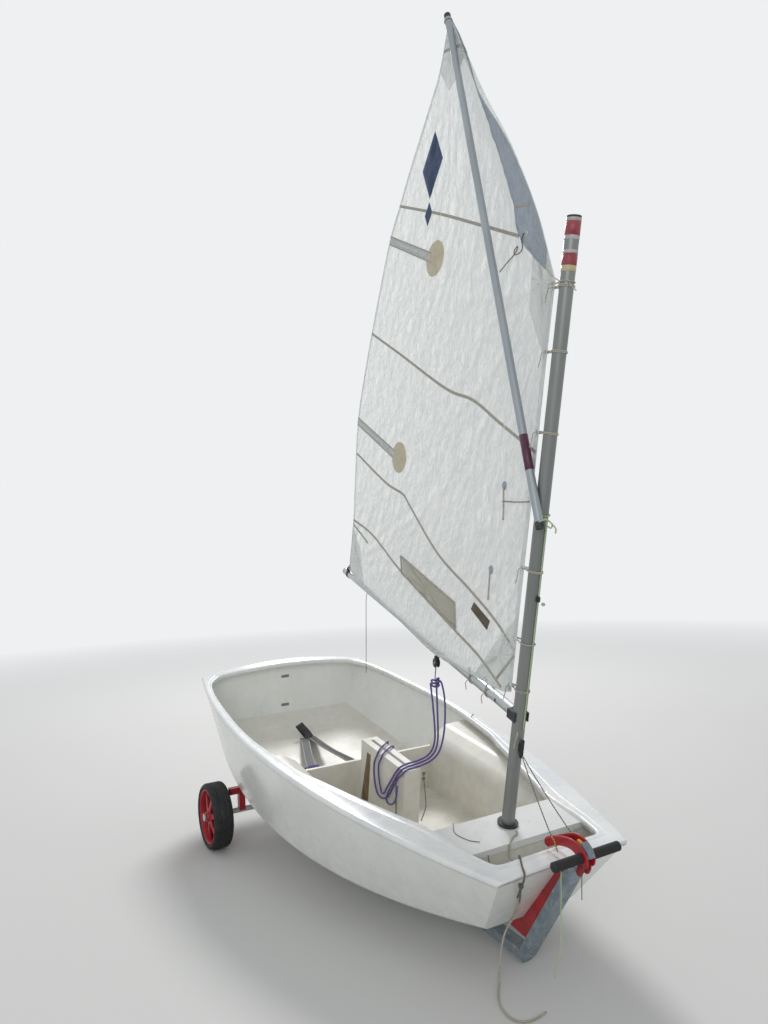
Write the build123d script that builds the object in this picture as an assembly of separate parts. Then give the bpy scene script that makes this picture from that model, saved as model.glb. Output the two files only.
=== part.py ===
from build123d import *
import math
import os

os.makedirs("parts", exist_ok=True)

# Boat frame, in mm: x forward from the stern, y to port, z up from the lowest point of the keel.
PITCH = 9.336          # bow-down angle of the hull as it is parked
LIFT = 363.6           # height of the boat frame's origin above the ground
ORIGIN_X = 1281.84      # ground x of the frame's origin, at the middle of the whole box

# Hull lines at the stern, the middle station and the bow: x, half width, height
SHEER = ((4.0, 487.0, 383.0), (1150.0, 558.0, 387.0), (2303.0, 268.0, 419.0))
CHINE = ((29.0, 392.0, 70.0), (1150.0, 454.0, 8.5), (2150.0, 188.0, 156.0))
KEEL_DROP = 8.0        # how far the bottom is below the chine on the centreline
STATIONS = (0.0, 0.25, 0.5, 0.75, 1.0)
SKIN = 7.0             # laminate of sides and bottom
CHINE_R = 26.0         # rounding of the chine
RIM_T = 24.0           # depth of the gunwale rim
RIM_OUT = 3.0          # how far the rim stands out of the side
STERN_CORNER_R = 60.0  # rounding of the opening's corners
BOW_CORNER_R = 22.0
FORM_RISE = 110.0      # how far the hull's form is drawn above its sheer, to be cut there
STERN_CROWN = 50.0     # how far the gunwale rises in the middle of the stern, and of the bow
BOW_CROWN = 10.0
CROWN_RUN = 400.0      # how far along the boat the crown fades out
OPENING = ((54.0, 400.0), (150.0, 474.0), (450.0, 515.0), (900.0, 528.0), (1300.0, 472.0), (1410.0, 436.0),
           (1610.0, 372.0), (1810.0, 304.0), (1900.0, 270.0), (2000.0, 255.0), (2100.0, 247.0),
           (2226.0, 217.0))     # x, half width inside the rim

# Inside the hull
SOLE_T = 10.0
SOLE_ARC = ((0.0, 125.0), (1100.0, 38.0), (2200.0, 174.0))
BULKHEAD_X = 1022.0
BULKHEAD_T = 14.0
BULKHEAD_TOP = 242.0
CASE_X = (1036.5, 1412.0)
CASE_HALF = 40.0
CASE_TOP = 339.0
SLOT_X = (1062.0, 1362.0)
SLOT_HALF = 8.0
THWART_X = (1941.0, 2118.0)
THWART_TOP = 398.0
THWART_T = 22.0
MAST_BULKHEAD_X = 2096.0
TANK_EDGE = ((340.0, 285.0), (430.0, 335.0), (700.0, 350.0))    # half width and height of the tank's top
TANK_R = 65.0
TANK_WALL = 5.0
GUDGEON_Z = (330.0, 165.0)
PINTLE_R = 4.0
STRAP_W = 50.0
STRAP_T = 3.0
STRAPS = (("toe_strap_left", (335.0, 25.0, 80.6), -77.0), ("toe_strap_right", (335.0, -8.0, 76.8), -278.0))

# Rig frame: z up the mast from the collar, x aft along the boom, y to starboard
MAST_AT = (2017.5, 0.0, 391.4)
MAST_RAKE = math.degrees(math.atan(0.0759))
BOOM_SWING = 10.0      # boom to port of the centreline at rest
MAST_R = 22.5
MAST_WALL = 2.0
MAST_LOW = -252.0
COLLAR_R = 36.0
COLLAR_T = 7.0
MAST_TOP = 2001.0
BOOM_Z = 400.0
BOOM_R = 20.0
BOOM_X = (38.0, 2012.0)
JAW = (50.0, 56.0, 32.0)
SHEET_BLOCK_X = 676.0
SPRIT_R = 14.0
SPRIT_Y = 37.6
SPRIT_HEEL = (-60.0, 1050.0)
SPRIT_PEAK = (1052.0, 3008.0)
SAIL_SIDE = 21.9       # the sail's middle face at its edges, to starboard of the mast's axis
SAIL_T = 3.0
SAIL_BELLY = 58.0      # how deep the sail swells to port
SAIL_GRID = (15, 13)   # points of its face up the luff and along the foot
SAIL_CROWD = 1.5       # how the points crowd towards the foot
LUFF = ((32.0, 474.0), (32.0, 1814.0))
HEAD = ((32.0, 1814.0), (94.0, 1915.0), (161.0, 2019.0), (245.0, 2130.0), (330.0, 2231.0), (446.0, 2362.0),
        (665.0, 2579.0), (818.0, 2749.0), (1040.0, 2992.0), (1072.0, 2992.0))
LEECH = ((1892.0, 438.0), (1893.0, 497.0), (1880.0, 737.0), (1904.0, 959.0), (1925.0, 1296.0),
         (1850.0, 1600.0), (1728.0, 1932.0), (1607.0, 2213.0), (1498.0, 2357.0), (1396.0, 2492.0),
         (1206.0, 2714.0), (1122.0, 2826.0), (1072.0, 2992.0))
FOOT = ((32.0, 474.0), (111.0, 448.0), (316.0, 422.0), (488.0, 396.0), (685.0, 379.0), (915.0, 386.0),
        (1488.0, 413.0), (1697.0, 418.0), (1892.0, 438.0))

# Trolley, ground frame: x as the ground frame before ORIGIN_X is taken off
WHEEL_X = 539.5
WHEEL_Y = 571.6
WHEEL_R = 150.7
WHEEL_W = 95.0
AXLE_R = 12.5
STUB_R = 10.0
BEAM = 30.0
BEAM_HALF = 500.0
BRACKET_IN = 60.0              # from the beam's end in to its bracket
BEAM_BELOW = 116.6             # cross beam's centre under the boat frame's origin
PAD_Y = 260.0                  # middle of each hull pad, and the block it is cut from
PAD = (60.0, 140.0, 70.0)
TYRE_T = 26.2                  # from the rim out to the tread
SPINE_REAR = 500.0
SPINE_FRONT = (2110.0, 32.4)   # centre of the spine at its front end
SPINE_H = 32.0
SPINE_W = 50.0
SPINE_WALL = 3.0
HUB_R = 24.0
RIM_WALL = 5.0
SPOKE_HOLES = 5
WINDOW_SHARE = 0.28            # radius of a rim's window, of the room between hub and barrel
POST_FOOT = (2118.0, 0.0)      # lower end of the post's front face
POST_TOP = (2404.0, 46.0)      # its height is above the boat frame's origin
POST_W = 60.0
POST_D = 28.0
POST_WALL = 4.0
POST_HOLE = 46.0               # up the post from its foot
CHEEK_Y = 15.0                 # middle of each hook plate
CHEEK_T = 6.0
CHEEK = ((2217.0, 438.0), (2236.0, 464.0), (2267.0, 487.0), (2306.0, 509.0), (2336.0, 515.0), (2364.0, 510.0),
         (2389.0, 494.0), (2401.0, 470.0), (2398.0, 446.0), (2380.0, 430.0), (2356.0, 424.0), (2350.0, 452.0),
         (2340.0, 470.0), (2320.0, 479.0), (2296.0, 474.0), (2272.0, 458.0), (2250.0, 433.0), (2234.0, 427.0))
COVER = ((2366.0, 511.0), (2391.0, 495.0), (2403.0, 478.0), (2398.0, 476.0), (2387.0, 490.0), (2363.0, 505.0))
BRACKET_HALF = 22.0
BRACKET_WALL = 4.0
LEG = ((2210.0, 200.0), (2150.0, 152.0), (2112.0, 141.0), (2078.0, 101.0), (2084.0, 84.0), (2200.0, 84.0),
       (2240.0, 180.0))
WEBS = ((2143.0, 110.0), (2276.0, 388.0), (2340.0, 388.0), (2190.0, 90.0))
TAB = ((2392.0, 440.0), (2356.0, 440.0), (2350.0, 400.0), (2376.0, 412.0))
GRIP_AT = (2371.0, 466.0)      # boat frame
GRIP_ENDS = (140.5, 124.5)     # ends of the grip bar to port and to starboard
GRIP_R = 15.0
GRIP_TUBE_R = 11.0

# Ropes that hang and lie free: diameter, then the points of each route.
# The mainsheet's and the painter's first points are in the boat frame, the others' in the ground frame.
SHEET_D = 8.0
SHEET_ROUTE = (
    (1373.6, 95.5, 687.5), (1378.6, 97.0, 662.8), (1384.0, 98.0, 638.2), (1388.7, 100.0, 613.5),
    (1397.0, 101.0, 571.5), (1405.1, 103.2, 527.4), (1416.0, 103.4, 461.7), (1416.9, 94.4, 418.0),
    (1406.3, 81.7, 390.0), (1382.8, 73.0, 367.0), (1368.2, 52.8, 353.5), (1362.4, 24.1, 347.8),
    (1365.4, -7.6, 348.0), (1372.7, -24.4, 347.6), (1380.4, -45.2, 347.6), (1375.4, -51.0, 337.0),
    (1361.2, -50.2, 320.0), (1352.1, -50.5, 309.9), (1339.3, -50.0, 290.6), (1325.3, -50.5, 270.6),
    (1301.0, -50.5, 235.4), (1285.0, -50.5, 211.1), (1275.9, -50.5, 194.6), (1263.8, -50.5, 183.4),
    (1250.9, -50.5, 181.3), (1243.2, -50.5, 189.2), (1235.8, -50.5, 205.4), (1223.4, -50.5, 229.4),
    (1214.7, -50.5, 262.0), (1214.6, -50.5, 298.1), (1228.9, -50.3, 319.1), (1240.3, -51.0, 337.0),
    (1237.3, -45.2, 347.6), (1224.5, -29.3, 347.5), (1216.0, -20.2, 347.8), (1205.0, -3.0, 347.7),
    (1197.4, 6.9, 348.0), (1189.5, 19.6, 347.9), (1180.7, 31.7, 348.2), (1168.3, 51.5, 341.0),
    (1168.3, 50.5, 322.0), (1165.8, 50.5, 309.5), (1143.0, 50.5, 303.5), (1120.1, 50.5, 309.5),
    (1117.6, 50.5, 322.0), (1117.6, 51.5, 341.0), (1129.6, 45.4, 348.2), (1138.5, 31.4, 348.4),
    (1154.8, 9.0, 347.8), (1173.6, -17.7, 347.8), (1187.3, -30.3, 347.5), (1201.8, -45.2, 347.6),
    (1203.8, -51.0, 337.0), (1193.1, -50.3, 319.1), (1177.2, -50.5, 294.4), (1174.8, -50.5, 254.6),
    (1183.3, -50.5, 214.6), (1194.2, -50.5, 189.6), (1203.6, -50.5, 173.6), (1216.1, -50.5, 161.8),
    (1237.0, -50.5, 156.1), (1265.4, -50.5, 161.7), (1295.1, -50.5, 179.5), (1315.4, -50.5, 201.9),
    (1329.6, -50.5, 225.0), (1349.4, -50.5, 259.0), (1365.1, -50.0, 281.5), (1380.3, -50.5, 304.4),
    (1400.9, -50.2, 322.2), (1417.4, -51.0, 337.0), (1422.4, -45.2, 347.6), (1417.7, -33.0, 347.6),
    (1411.9, -21.2, 348.0), (1411.1, -5.8, 347.7), (1409.1, 9.6, 347.8), (1412.3, 25.1, 350.5),
    (1414.3, 40.7, 353.5), (1430.2, 62.0, 368.0), (1451.4, 76.8, 391.0), (1464.6, 92.4, 420.0),
    (1435.2, 129.5, 451.4), (1431.1, 139.5, 517.7), (1420.5, 143.9, 600.2), (1410.7, 141.3, 649.5),
    (1403.8, 137.5, 675.6), (1398.5, 134.0, 693.5), (1392.7, 127.3, 701.3), (1388.1, 119.0, 694.9),
    (1389.1, 116.6, 679.1), (1392.4, 116.1, 656.7), (1396.3, 115.5, 634.7), (1399.7, 116.1, 612.6),
    (1405.8, 115.1, 575.1), (1412.9, 115.1, 528.2), (1423.2, 113.8, 460.5), (1431.7, 99.7, 418.0),
    (1423.5, 85.5, 390.0), (1404.1, 71.7, 367.0), (1389.4, 49.3, 353.5), (1387.4, 33.5, 350.5),
    (1384.3, 17.8, 347.8), (1387.2, 3.1, 347.7), (1389.0, -11.9, 348.0), (1394.2, -24.3, 347.6),
    (1401.2, -45.2, 347.6), (1396.2, -51.0, 337.0), (1387.9, -52.2, 326.6), (1379.5, -54.5, 316.5),
    (1369.1, -57.3, 296.5), (1362.7, -60.0, 284.5), (1350.4, -59.9, 264.2), (1341.6, -60.7, 250.7),
    (1333.0, -60.2, 236.1), (1323.8, -60.7, 221.9), (1312.0, -60.7, 199.4), (1307.9, -60.9, 179.5),
    (1322.0, -60.7, 168.2), (1351.9, -60.9, 175.3), (1376.3, -60.7, 197.3), (1386.2, -60.9, 220.9),
    (1391.1, -60.7, 247.2), (1392.2, -60.7, 275.3),
)
PAINTER_D = 6.0
PAINTER_ROUTE = (
    (2070.0, -8.0, 401.4), (2084.0, -8.0, 401.4), (2094.0, -38.0, 401.4), (2108.0, -62.0, 401.4),
    (2118.0, -72.5, 401.6), (2121.8, -76.5, 399.8), (2122.4, -77.3, 394.0), (2122.0, -78.5, 378.0),
    (2122.0, -80.0, 361.0), (2160.0, -102.0, 373.0),
    (2190.0, -112.0, 389.0), (2212.0, -118.0, 401.0), (2221.0, -122.0, 416.0), (2222.5, -125.0, 427.0),
    (2240.0, -135.0, 426.5), (2274.0, -159.0, 428.0), (2292.0, -169.0, 428.5), (2311.0, -180.0, 430.5),
    (2318.0, -187.0, 421.0), (2317.0, -188.5, 408.0), (2306.0, -186.0, 391.0), (2270.0, -155.0, 339.0),
    (2240.0, -129.0, 288.0), (2200.0, -98.0, 225.0), (2170.0, -84.0, 180.0), (2155.0, -83.0, 156.0),
)
PAINTER_LIE = (
    (2149.0, -99.0, 151.0), (2150.0, -116.0, 127.0), (2150.0, -128.0, 89.0), (2149.0, -139.0, 29.0),
    (2153.0, -147.0, 8.0), (2171.5, -159.7, 3.2), (2202.4, -187.8, 3.2), (2234.2, -211.9, 3.2),
    (2269.3, -228.8, 3.2), (2304.3, -235.2, 3.2), (2334.7, -230.6, 3.2), (2351.7, -213.3, 3.2),
    (2359.4, -189.8, 3.2), (2358.7, -158.4, 3.2), (2352.9, -129.9, 3.2),
)
STRING_D = 3.0
STRING_ROUTE = (
    (2413.7, -94.5, 423.6), (2410.3, -95.6, 394.6), (2409.9, -96.1, 357.4), (2406.7, -99.7, 297.2),
    (2405.6, -100.9, 237.4), (2402.9, -103.8, 197.4), (2399.1, -108.0, 171.5), (2394.3, -113.2, 152.5),
    (2388.8, -119.3, 137.7), (2387.9, -120.3, 124.9), (2389.0, -119.0, 113.7),
)


def curve(x, line, column):
    """Value of a hull line at x, a parabola through its three stations."""
    total = 0.0
    for i, row in enumerate(line):
        weight = 1.0
        for j, other in enumerate(line):
            if i != j:
                weight *= (x - other[0]) / (row[0] - other[0])
        total += weight * row[column]
    return total


def section(t, inset, rise):
    """Closed wire across the hull at station t, moved in by inset, with its top raised by rise."""
    margin = inset / (SHEER[2][0] - SHEER[0][0])
    t = margin + t * (1.0 - 2.0 * margin)
    xg = SHEER[0][0] + t * (SHEER[2][0] - SHEER[0][0])
    xc = CHINE[0][0] + t * (CHINE[2][0] - CHINE[0][0])
    zg = curve(xg, SHEER, 2)
    zc = curve(xc, CHINE, 2) + inset
    half_g = curve(xg, SHEER, 1) - inset
    half_c = curve(xc, CHINE, 1) - inset
    lean = (xg - xc) / (zg - zc)
    flare = (half_g - half_c) / (zg - zc)
    top = (xg + lean * rise, half_g + flare * rise, zg + rise)
    keel = (xc - lean * KEEL_DROP, 0.0, zc - KEEL_DROP)
    points = [
        Vector(*top),
        Vector(xc, half_c, zc),
        Vector(*keel),
        Vector(xc, -half_c, zc),
        Vector(top[0], -top[1], top[2]),
    ]
    outline = Wire([Line(a, b).edge() for a, b in zip(points, points[1:] + points[:1])])
    corners = [v for v in outline.vertices() if abs(Vector(v).Z - zc) < 0.01]
    return outline.fillet_2d(max(CHINE_R - inset, 8.0), corners)


def body(inset, rise):
    """Solid loft of the hull's form."""
    return Solid.make_loft([section(t, inset, rise) for t in STATIONS])


def gunwale(x, y):
    """Height of the gunwale's top: the sheer, crowned across the boat towards its ends."""
    half = curve(x, SHEER, 1)
    stern = STERN_CROWN * max(0.0, 1.0 - max(x, 0.0) / CROWN_RUN) ** 2
    bow = BOW_CROWN * max(0.0, 1.0 - max(SHEER[2][0] - x, 0.0) / CROWN_RUN) ** 2
    return curve(x, SHEER, 2) + (stern + bow) * (1.0 - (y / half) ** 2)


def gunwale_slab(high, depth):
    """Slab whose top follows the gunwale, high above it, and that is depth thick."""
    columns = [-80.0 + 125.0 * i for i in range(21)]
    rows = [-640.0 + 160.0 * i for i in range(9)]
    face = Face.make_surface_from_array_of_points(
        [[Vector(x, y, gunwale(x, y) + high) for y in rows] for x in columns], tol=0.05)
    return extrude(face, depth, dir=(0, 0, -1)).solid()


def side_profile(points, half, centre=0.0):
    """Extrusion across the boat of a polygon in x and z, of half width half about y centre."""
    with BuildSketch(Plane.XZ.offset(-centre)) as sketch:
        with BuildLine():
            Polyline(*points, close=True)
        make_face()
    return extrude(sketch.sketch, half, both=True).solid()


def block(low, high):
    """Box between two corners."""
    size = [b - a for a, b in zip(low, high)]
    middle = [(a + b) / 2 for a, b in zip(low, high)]
    return Pos(*middle) * Box(*size)


def rod(start, end, radius):
    """Round bar between two points."""
    line = Vector(*end) - Vector(*start)
    return Plane(origin=Vector(*start), z_dir=line) * Cylinder(
        radius, line.length, align=(Align.CENTER, Align.CENTER, Align.MIN))


HULL_PLACE = Location((-ORIGIN_X, 0.0, LIFT), (0.0, PITCH, 0.0))
GROUND_PLACE = Location((-ORIGIN_X, 0.0, 0.0))
RAKED = Location(MAST_AT, (0.0, MAST_RAKE, 0.0))
RIG_PLACE = HULL_PLACE * RAKED * Location((0.0, 0.0, 0.0), (0.0, 0.0, 180.0 - BOOM_SWING))


def cord(name, route, diameter, place):
    """Round rope along a route of straight runs whose corners are rounded as far as the runs allow."""
    points = [Vector(*point) for point in route]
    radii = []
    for a, b, c in zip(points, points[1:], points[2:]):
        turn = (b - a).get_angle(c - b)
        radii.append(0.45 * min((b - a).length, (c - b).length) / math.tan(math.radians(turn / 2.0)))
    line = FilletPolyline(*points, radius=radii)
    tube = sweep(Plane(line @ 0, z_dir=line % 0) * Circle(diameter / 2.0), path=line).solid()
    share = tube.volume / (math.pi * diameter * diameter / 4.0 * line.length)
    print(name, "length", round(line.length), "volume share", round(share, 3), "least radius", round(min(radii)))
    save(name, tube, place)


def save(name, shape, place):
    """Write one piece, set in the object's frame, as a STEP file."""
    solids = shape.solids()
    shape = solids[0] if len(solids) == 1 else Compound(solids)
    export_step(place * shape, f"parts/{name}.step")
    print(name, len(solids), round(sum(s.volume for s in solids) / 1000.0, 1), "cm3")


def along(chain, share):
    """Point at a share of a chain's length."""
    runs = [math.dist(a, b) for a, b in zip(chain, chain[1:])]
    left = share * sum(runs)
    for a, b, run in zip(chain, chain[1:], runs):
        if left <= run:
            return [p + (q - p) * left / run for p, q in zip(a, b)]
        left -= run
    return list(chain[-1])


def crossing(chain, value, given, found):
    """Where a chain that rises in one coordinate reaches a value, by its other coordinate."""
    for a, b in zip(chain, chain[1:]):
        if a[given] <= value <= b[given] and b[given] > a[given]:
            return a[found] + (b[found] - a[found]) * (value - a[given]) / (b[given] - a[given])
    return chain[0][found] if value < chain[0][given] else chain[-1][found]


def eased(value, low, high):
    """Smooth step from 0 at low to 1 at high."""
    t = min(1.0, max(0.0, (value - low) / (high - low)))
    return t * t * (3.0 - 2.0 * t)


def sail_point(s, t):
    """Point of the sail's face at share s from luff to leech and t from foot to head."""
    fore, aft, low, high = along(LUFF, t), along(LEECH, t), along(FOOT, s), along(HEAD, s)
    x, z = [(1 - s) * fore[k] + s * aft[k] + (1 - t) * low[k] + t * high[k]
            - (1 - s) * (1 - t) * FOOT[0][k] - s * (1 - t) * FOOT[-1][k]
            - (1 - s) * t * HEAD[0][k] - s * t * HEAD[-1][k] for k in (0, 1)]
    front = crossing(LUFF + HEAD[1:], z, 1, 0)
    back = crossing(LEECH, z, 1, 0)
    share = min(1.0, max(0.0, (x - front) / max(back - front, 20.0)))
    above = z - crossing(FOOT, x, 0, 1)
    belly = SAIL_BELLY * min(1.0, (back - front) / 1500.0) * eased(above, 50.0, 600.0) * math.sin(
        math.pi * share ** 0.8)
    return Vector(x, SAIL_SIDE + SAIL_T / 2 - belly, z)


# Hull shell
outer = body(0.0, FORM_RISE)
inner = body(SKIN, FORM_RISE)
rim_form = body(-RIM_OUT, FORM_RISE)
clear_form = body(-0.4, FORM_RISE)     # what fittings outside the hull are cut by
mast_hole = RAKED * Cylinder(MAST_R + 4.0, 260.0)
slot = block((SLOT_X[0], -SLOT_HALF, -40.0), (SLOT_X[1], SLOT_HALF, 500.0))
below_rim = gunwale_slab(-RIM_T, 900.0)
shell = (outer & below_rim) - inner - slot
save("hull_shell", shell, HULL_PLACE)

# Gunwale rim with its rounded inner corners
starboard_side = [(x, -y) for x, y in reversed(OPENING)]
with BuildSketch(Plane.XY.offset(200.0)) as hole_sketch:
    with BuildLine():
        Spline(*OPENING)
        Line(OPENING[-1], starboard_side[0])
        Spline(*starboard_side)
        Line(starboard_side[-1], OPENING[0])
    make_face()
    fillet(hole_sketch.vertices().filter_by(lambda v: v.X < 160), STERN_CORNER_R)
    fillet(hole_sketch.vertices().filter_by(lambda v: v.X > 2200), BOW_CORNER_R)
opening = extrude(hole_sketch.sketch, 400.0).solid()
rim = (rim_form & gunwale_slab(0.0, RIM_T)) - opening
save("gunwale_rim", rim, HULL_PLACE)

# Sole, bulkheads, case, thwart
inside = (inner & below_rim)
with BuildSketch(Plane.XZ) as sole_sketch:
    with BuildLine():
        ThreePointArc(*SOLE_ARC)
        Line(SOLE_ARC[2], (SOLE_ARC[2][0], SOLE_ARC[2][1] - SOLE_T))
        ThreePointArc(*[(x, z - SOLE_T) for x, z in reversed(SOLE_ARC)])
        Line((SOLE_ARC[0][0], SOLE_ARC[0][1] - SOLE_T), SOLE_ARC[0])
    make_face()
sole_slab = extrude(sole_sketch.sketch, 700.0, both=True).solid()
with BuildSketch(Plane.XZ) as above_sketch:
    with BuildLine():
        ThreePointArc(*SOLE_ARC)
        Line(SOLE_ARC[2], (SOLE_ARC[2][0], 900.0))
        Line((SOLE_ARC[2][0], 900.0), (SOLE_ARC[0][0], 900.0))
        Line((SOLE_ARC[0][0], 900.0), SOLE_ARC[0])
    make_face()
above_sole = extrude(above_sketch.sketch, 700.0, both=True).solid()
case_box = block((CASE_X[0], -CASE_HALF, -40.0), (CASE_X[1], CASE_HALF, CASE_TOP))
sole = (inner & sole_slab) - case_box
save("cockpit_sole", sole, HULL_PLACE)

cabin = inside & above_sole
bulkhead = cabin & block((BULKHEAD_X, -700.0, 0.0), (BULKHEAD_X + BULKHEAD_T, 700.0, BULKHEAD_TOP))
save("midship_bulkhead", bulkhead, HULL_PLACE)

case = (inside & case_box) - slot
save("daggerboard_case", case, HULL_PLACE)

thwart = inner & block((THWART_X[0], -700.0, THWART_TOP - THWART_T), (THWART_X[1], 700.0, THWART_TOP))
thwart = thwart - rim - mast_hole
save("mast_thwart", thwart, HULL_PLACE)

mast_bulkhead = cabin & block((MAST_BULKHEAD_X, -700.0, 0.0),
                              (MAST_BULKHEAD_X + 12.0, 700.0, THWART_TOP - THWART_T))
save("mast_bulkhead", mast_bulkhead, HULL_PLACE)

# Mast step and collar
step_low = RAKED * Pos(0, 0, MAST_LOW - 60.0) * Box(110.0, 90.0, 220.0)
step_form = step_low & above_sole & inside
step = step_form & block((1800.0, -100.0, 0.0), (2090.0, 100.0, 178.0))
step = step - RAKED * Pos(0, 0, MAST_LOW - 0.5) * Cylinder(
    MAST_R + 0.6, 300.0, align=(Align.CENTER, Align.CENTER, Align.MIN))
save("mast_step", step, HULL_PLACE)

collar = Cylinder(COLLAR_R, COLLAR_T) - Cylinder(MAST_R + 0.6, 30.0)
collar = Pos(0, 0, 10.0 + COLLAR_T / 2) * collar
save("mast_collar", collar, HULL_PLACE * RAKED)


def tank_form(side, wall):
    """Side tank's form on one side of the boat, all its faces moved in by wall."""
    start = BULKHEAD_X + BULKHEAD_T + wall
    length = THWART_X[0] - wall - start
    (low_y, low_z), (mid_y, mid_z), (out_y, out_z) = TANK_EDGE
    with BuildSketch(Plane.YZ.offset(start)) as sketch:
        with BuildLine():
            Polyline((side * (low_y + wall), -50.0), (side * (low_y + wall), low_z - wall),
                     (side * (mid_y + wall / 2), mid_z - wall), (side * out_y, out_z - wall),
                     (side * out_y, -50.0), close=True)
        make_face()
        fillet(sketch.vertices().filter_by(lambda v: v.Y > 200 and abs(v.X) < 500), TANK_R - wall)
    return extrude(sketch.sketch, length).solid()


# Side tanks along the cockpit, moulded panels closed by the hull's side and the sole
for name, side in (("side_tank_left", 1.0), ("side_tank_right", -1.0)):
    save(name, (cabin & tank_form(side, 0.0)) - tank_form(side, TANK_WALL), HULL_PLACE)

# Gudgeons on the transom and their plates inside it
transom_up = Vector(SHEER[0][0] - CHINE[0][0], 0.0, SHEER[0][2] - CHINE[0][2]).normalized()
transom_out = Vector(-transom_up.Z, 0.0, transom_up.X)
for name, z in zip(("upper", "lower"), GUDGEON_Z):
    x = CHINE[0][0] + transom_up.X / transom_up.Z * (z - CHINE[0][2])
    frame = Plane(origin=Vector(x, 0.0, z), x_dir=transom_out, z_dir=transom_up)
    plate = Pos(2.0, 0, 0) * Box(3.0, 74.0, 26.0)
    web = Pos(12.0, 0, 0) * Box(18.0, 11.0, 26.0)
    eye = Pos(24.0, 0, 0) * Cylinder(8.5, 26.0)
    bore = Pos(24.0, 0, 0) * Cylinder(PINTLE_R + 0.2, 60.0)
    save(f"gudgeon_{name}", frame * ((plate + web + eye) - bore), HULL_PLACE)
    backing = frame * Pos(-SKIN - 1.4, 0, 0) * Box(3.0, 46.0, 14.0)
    save(f"transom_plate_{name}", backing - (outer - inner), HULL_PLACE)

# Toe straps from the midship bulkhead to where they meet over the sole
for name, meet, y in STRAPS:
    end = Vector(BULKHEAD_X - 4.0, y, BULKHEAD_TOP - 6.0)
    start = Vector(*meet)
    run = end - start
    across = Vector(run.Y, -run.X, 0.0).normalized()
    frame = Plane(origin=(start + end) * 0.5, x_dir=across, z_dir=run.normalized())
    strap = frame * Pos(0, 0, 10.0) * Box(STRAP_W, STRAP_T, run.length + 20.0)
    save(name, strap & block((0.0, -700.0, 0.0), (BULKHEAD_X - 0.3, 700.0, 600.0)), HULL_PLACE)

# Mast with its plugs and cleat
UP = (Align.CENTER, Align.CENTER, Align.MIN)
mast = Pos(0, 0, (MAST_LOW + 8.0 + MAST_TOP - 6.0) / 2) * (
    Cylinder(MAST_R, MAST_TOP - MAST_LOW - 14.0) - Cylinder(MAST_R - MAST_WALL, 3000.0))
save("mast_tube", mast, RIG_PLACE)
plug_r = MAST_R - MAST_WALL - 0.1
mast_heel = Cylinder(MAST_R, 8.0, align=UP) + Cylinder(plug_r, 30.0, align=UP)
save("mast_heel", Pos(0, 0, MAST_LOW) * mast_heel, RIG_PLACE)
mast_cap = Cylinder(MAST_R, 6.0, align=UP) + Pos(0, 0, -24.0) * Cylinder(plug_r, 25.0, align=UP)
save("mast_cap", Pos(0, 0, MAST_TOP - 6.0) * mast_cap, RIG_PLACE)
cleat = Pos(-MAST_R - 5.0, 0, 300.0) * (Box(14.0, 12.0, 26.0) + Pos(-8.0, 0, 0) * Box(10.0, 10.0, 62.0))
save("mast_cleat", cleat - Cylinder(MAST_R + 0.05, 900.0), RIG_PLACE)

# Boom, its jaw, end cap and block
boom_mid = (BOOM_X[0] + BOOM_X[1]) / 2
boom_bore = BOOM_R - 1.8
boom = Pos(boom_mid, 0, BOOM_Z) * Rot(0, 90, 0) * (
    Cylinder(BOOM_R, BOOM_X[1] - BOOM_X[0]) - Cylinder(boom_bore, 3000.0))
save("boom_tube", boom, RIG_PLACE)
jaw = Pos(11.0, 0, BOOM_Z) * Box(*JAW)
jaw += Pos(60.0, 0, BOOM_Z) * Rot(0, 90, 0) * Cylinder(boom_bore - 0.1, 60.0)
jaw -= Pos(0, 0, BOOM_Z) * Cylinder(MAST_R + 0.5, 100.0)
jaw -= Pos(-40.0, 0, BOOM_Z) * Box(80.0, 2 * MAST_R, 60.0)
save("boom_jaw", jaw, RIG_PLACE)
end_cap = Cylinder(BOOM_R, 8.0, align=UP) + Pos(0, 0, -20.0) * Cylinder(boom_bore - 0.1, 21.0, align=UP)
save("boom_end_cap", Pos(BOOM_X[1], 0, BOOM_Z) * Rot(0, 90, 0) * end_cap, RIG_PLACE)
sheave = Rot(90, 0, 0) * (Cylinder(21.0, 16.0) - (Cylinder(26.0, 6.0) - Cylinder(13.0, 6.0)))
block_shape = Pos(SHEET_BLOCK_X, 0, 334.0) * sheave
block_shape += Pos(SHEET_BLOCK_X, 0, 367.0) * Box(12.0, 12.0, 26.0)
save("sheet_block", block_shape, RIG_PLACE)

# Sprit
heel = Vector(SPRIT_HEEL[0], SPRIT_Y, SPRIT_HEEL[1])
peak = Vector(SPRIT_PEAK[0], SPRIT_Y, SPRIT_PEAK[1])
sprit_frame = Plane(origin=heel, z_dir=(peak - heel).normalized())
sprit_len = (peak - heel).length
sprit = Pos(0, 0, 22.0) * (Cylinder(SPRIT_R, sprit_len - 44.0, align=UP)
                           - Cylinder(SPRIT_R - 1.5, sprit_len, align=UP))
save("sprit_tube", sprit_frame * sprit, RIG_PLACE)
sprit_cap = Cylinder(SPRIT_R, 22.0, align=UP)
save("sprit_heel_cap", sprit_frame * sprit_cap, RIG_PLACE)
save("sprit_peak_cap", sprit_frame * Pos(0, 0, sprit_len - 22.0) * sprit_cap, RIG_PLACE)

# Sail, a thin panel that swells to port
sail_rows = [[sail_point(j / (SAIL_GRID[1] - 1), (i / (SAIL_GRID[0] - 1)) ** SAIL_CROWD)
              for j in range(SAIL_GRID[1])] for i in range(SAIL_GRID[0])]
sail_face = Face.make_surface_from_array_of_points(sail_rows, tol=0.1)
save("sail", extrude(sail_face, SAIL_T, dir=(0, -1, 0)), RIG_PLACE)

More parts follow.
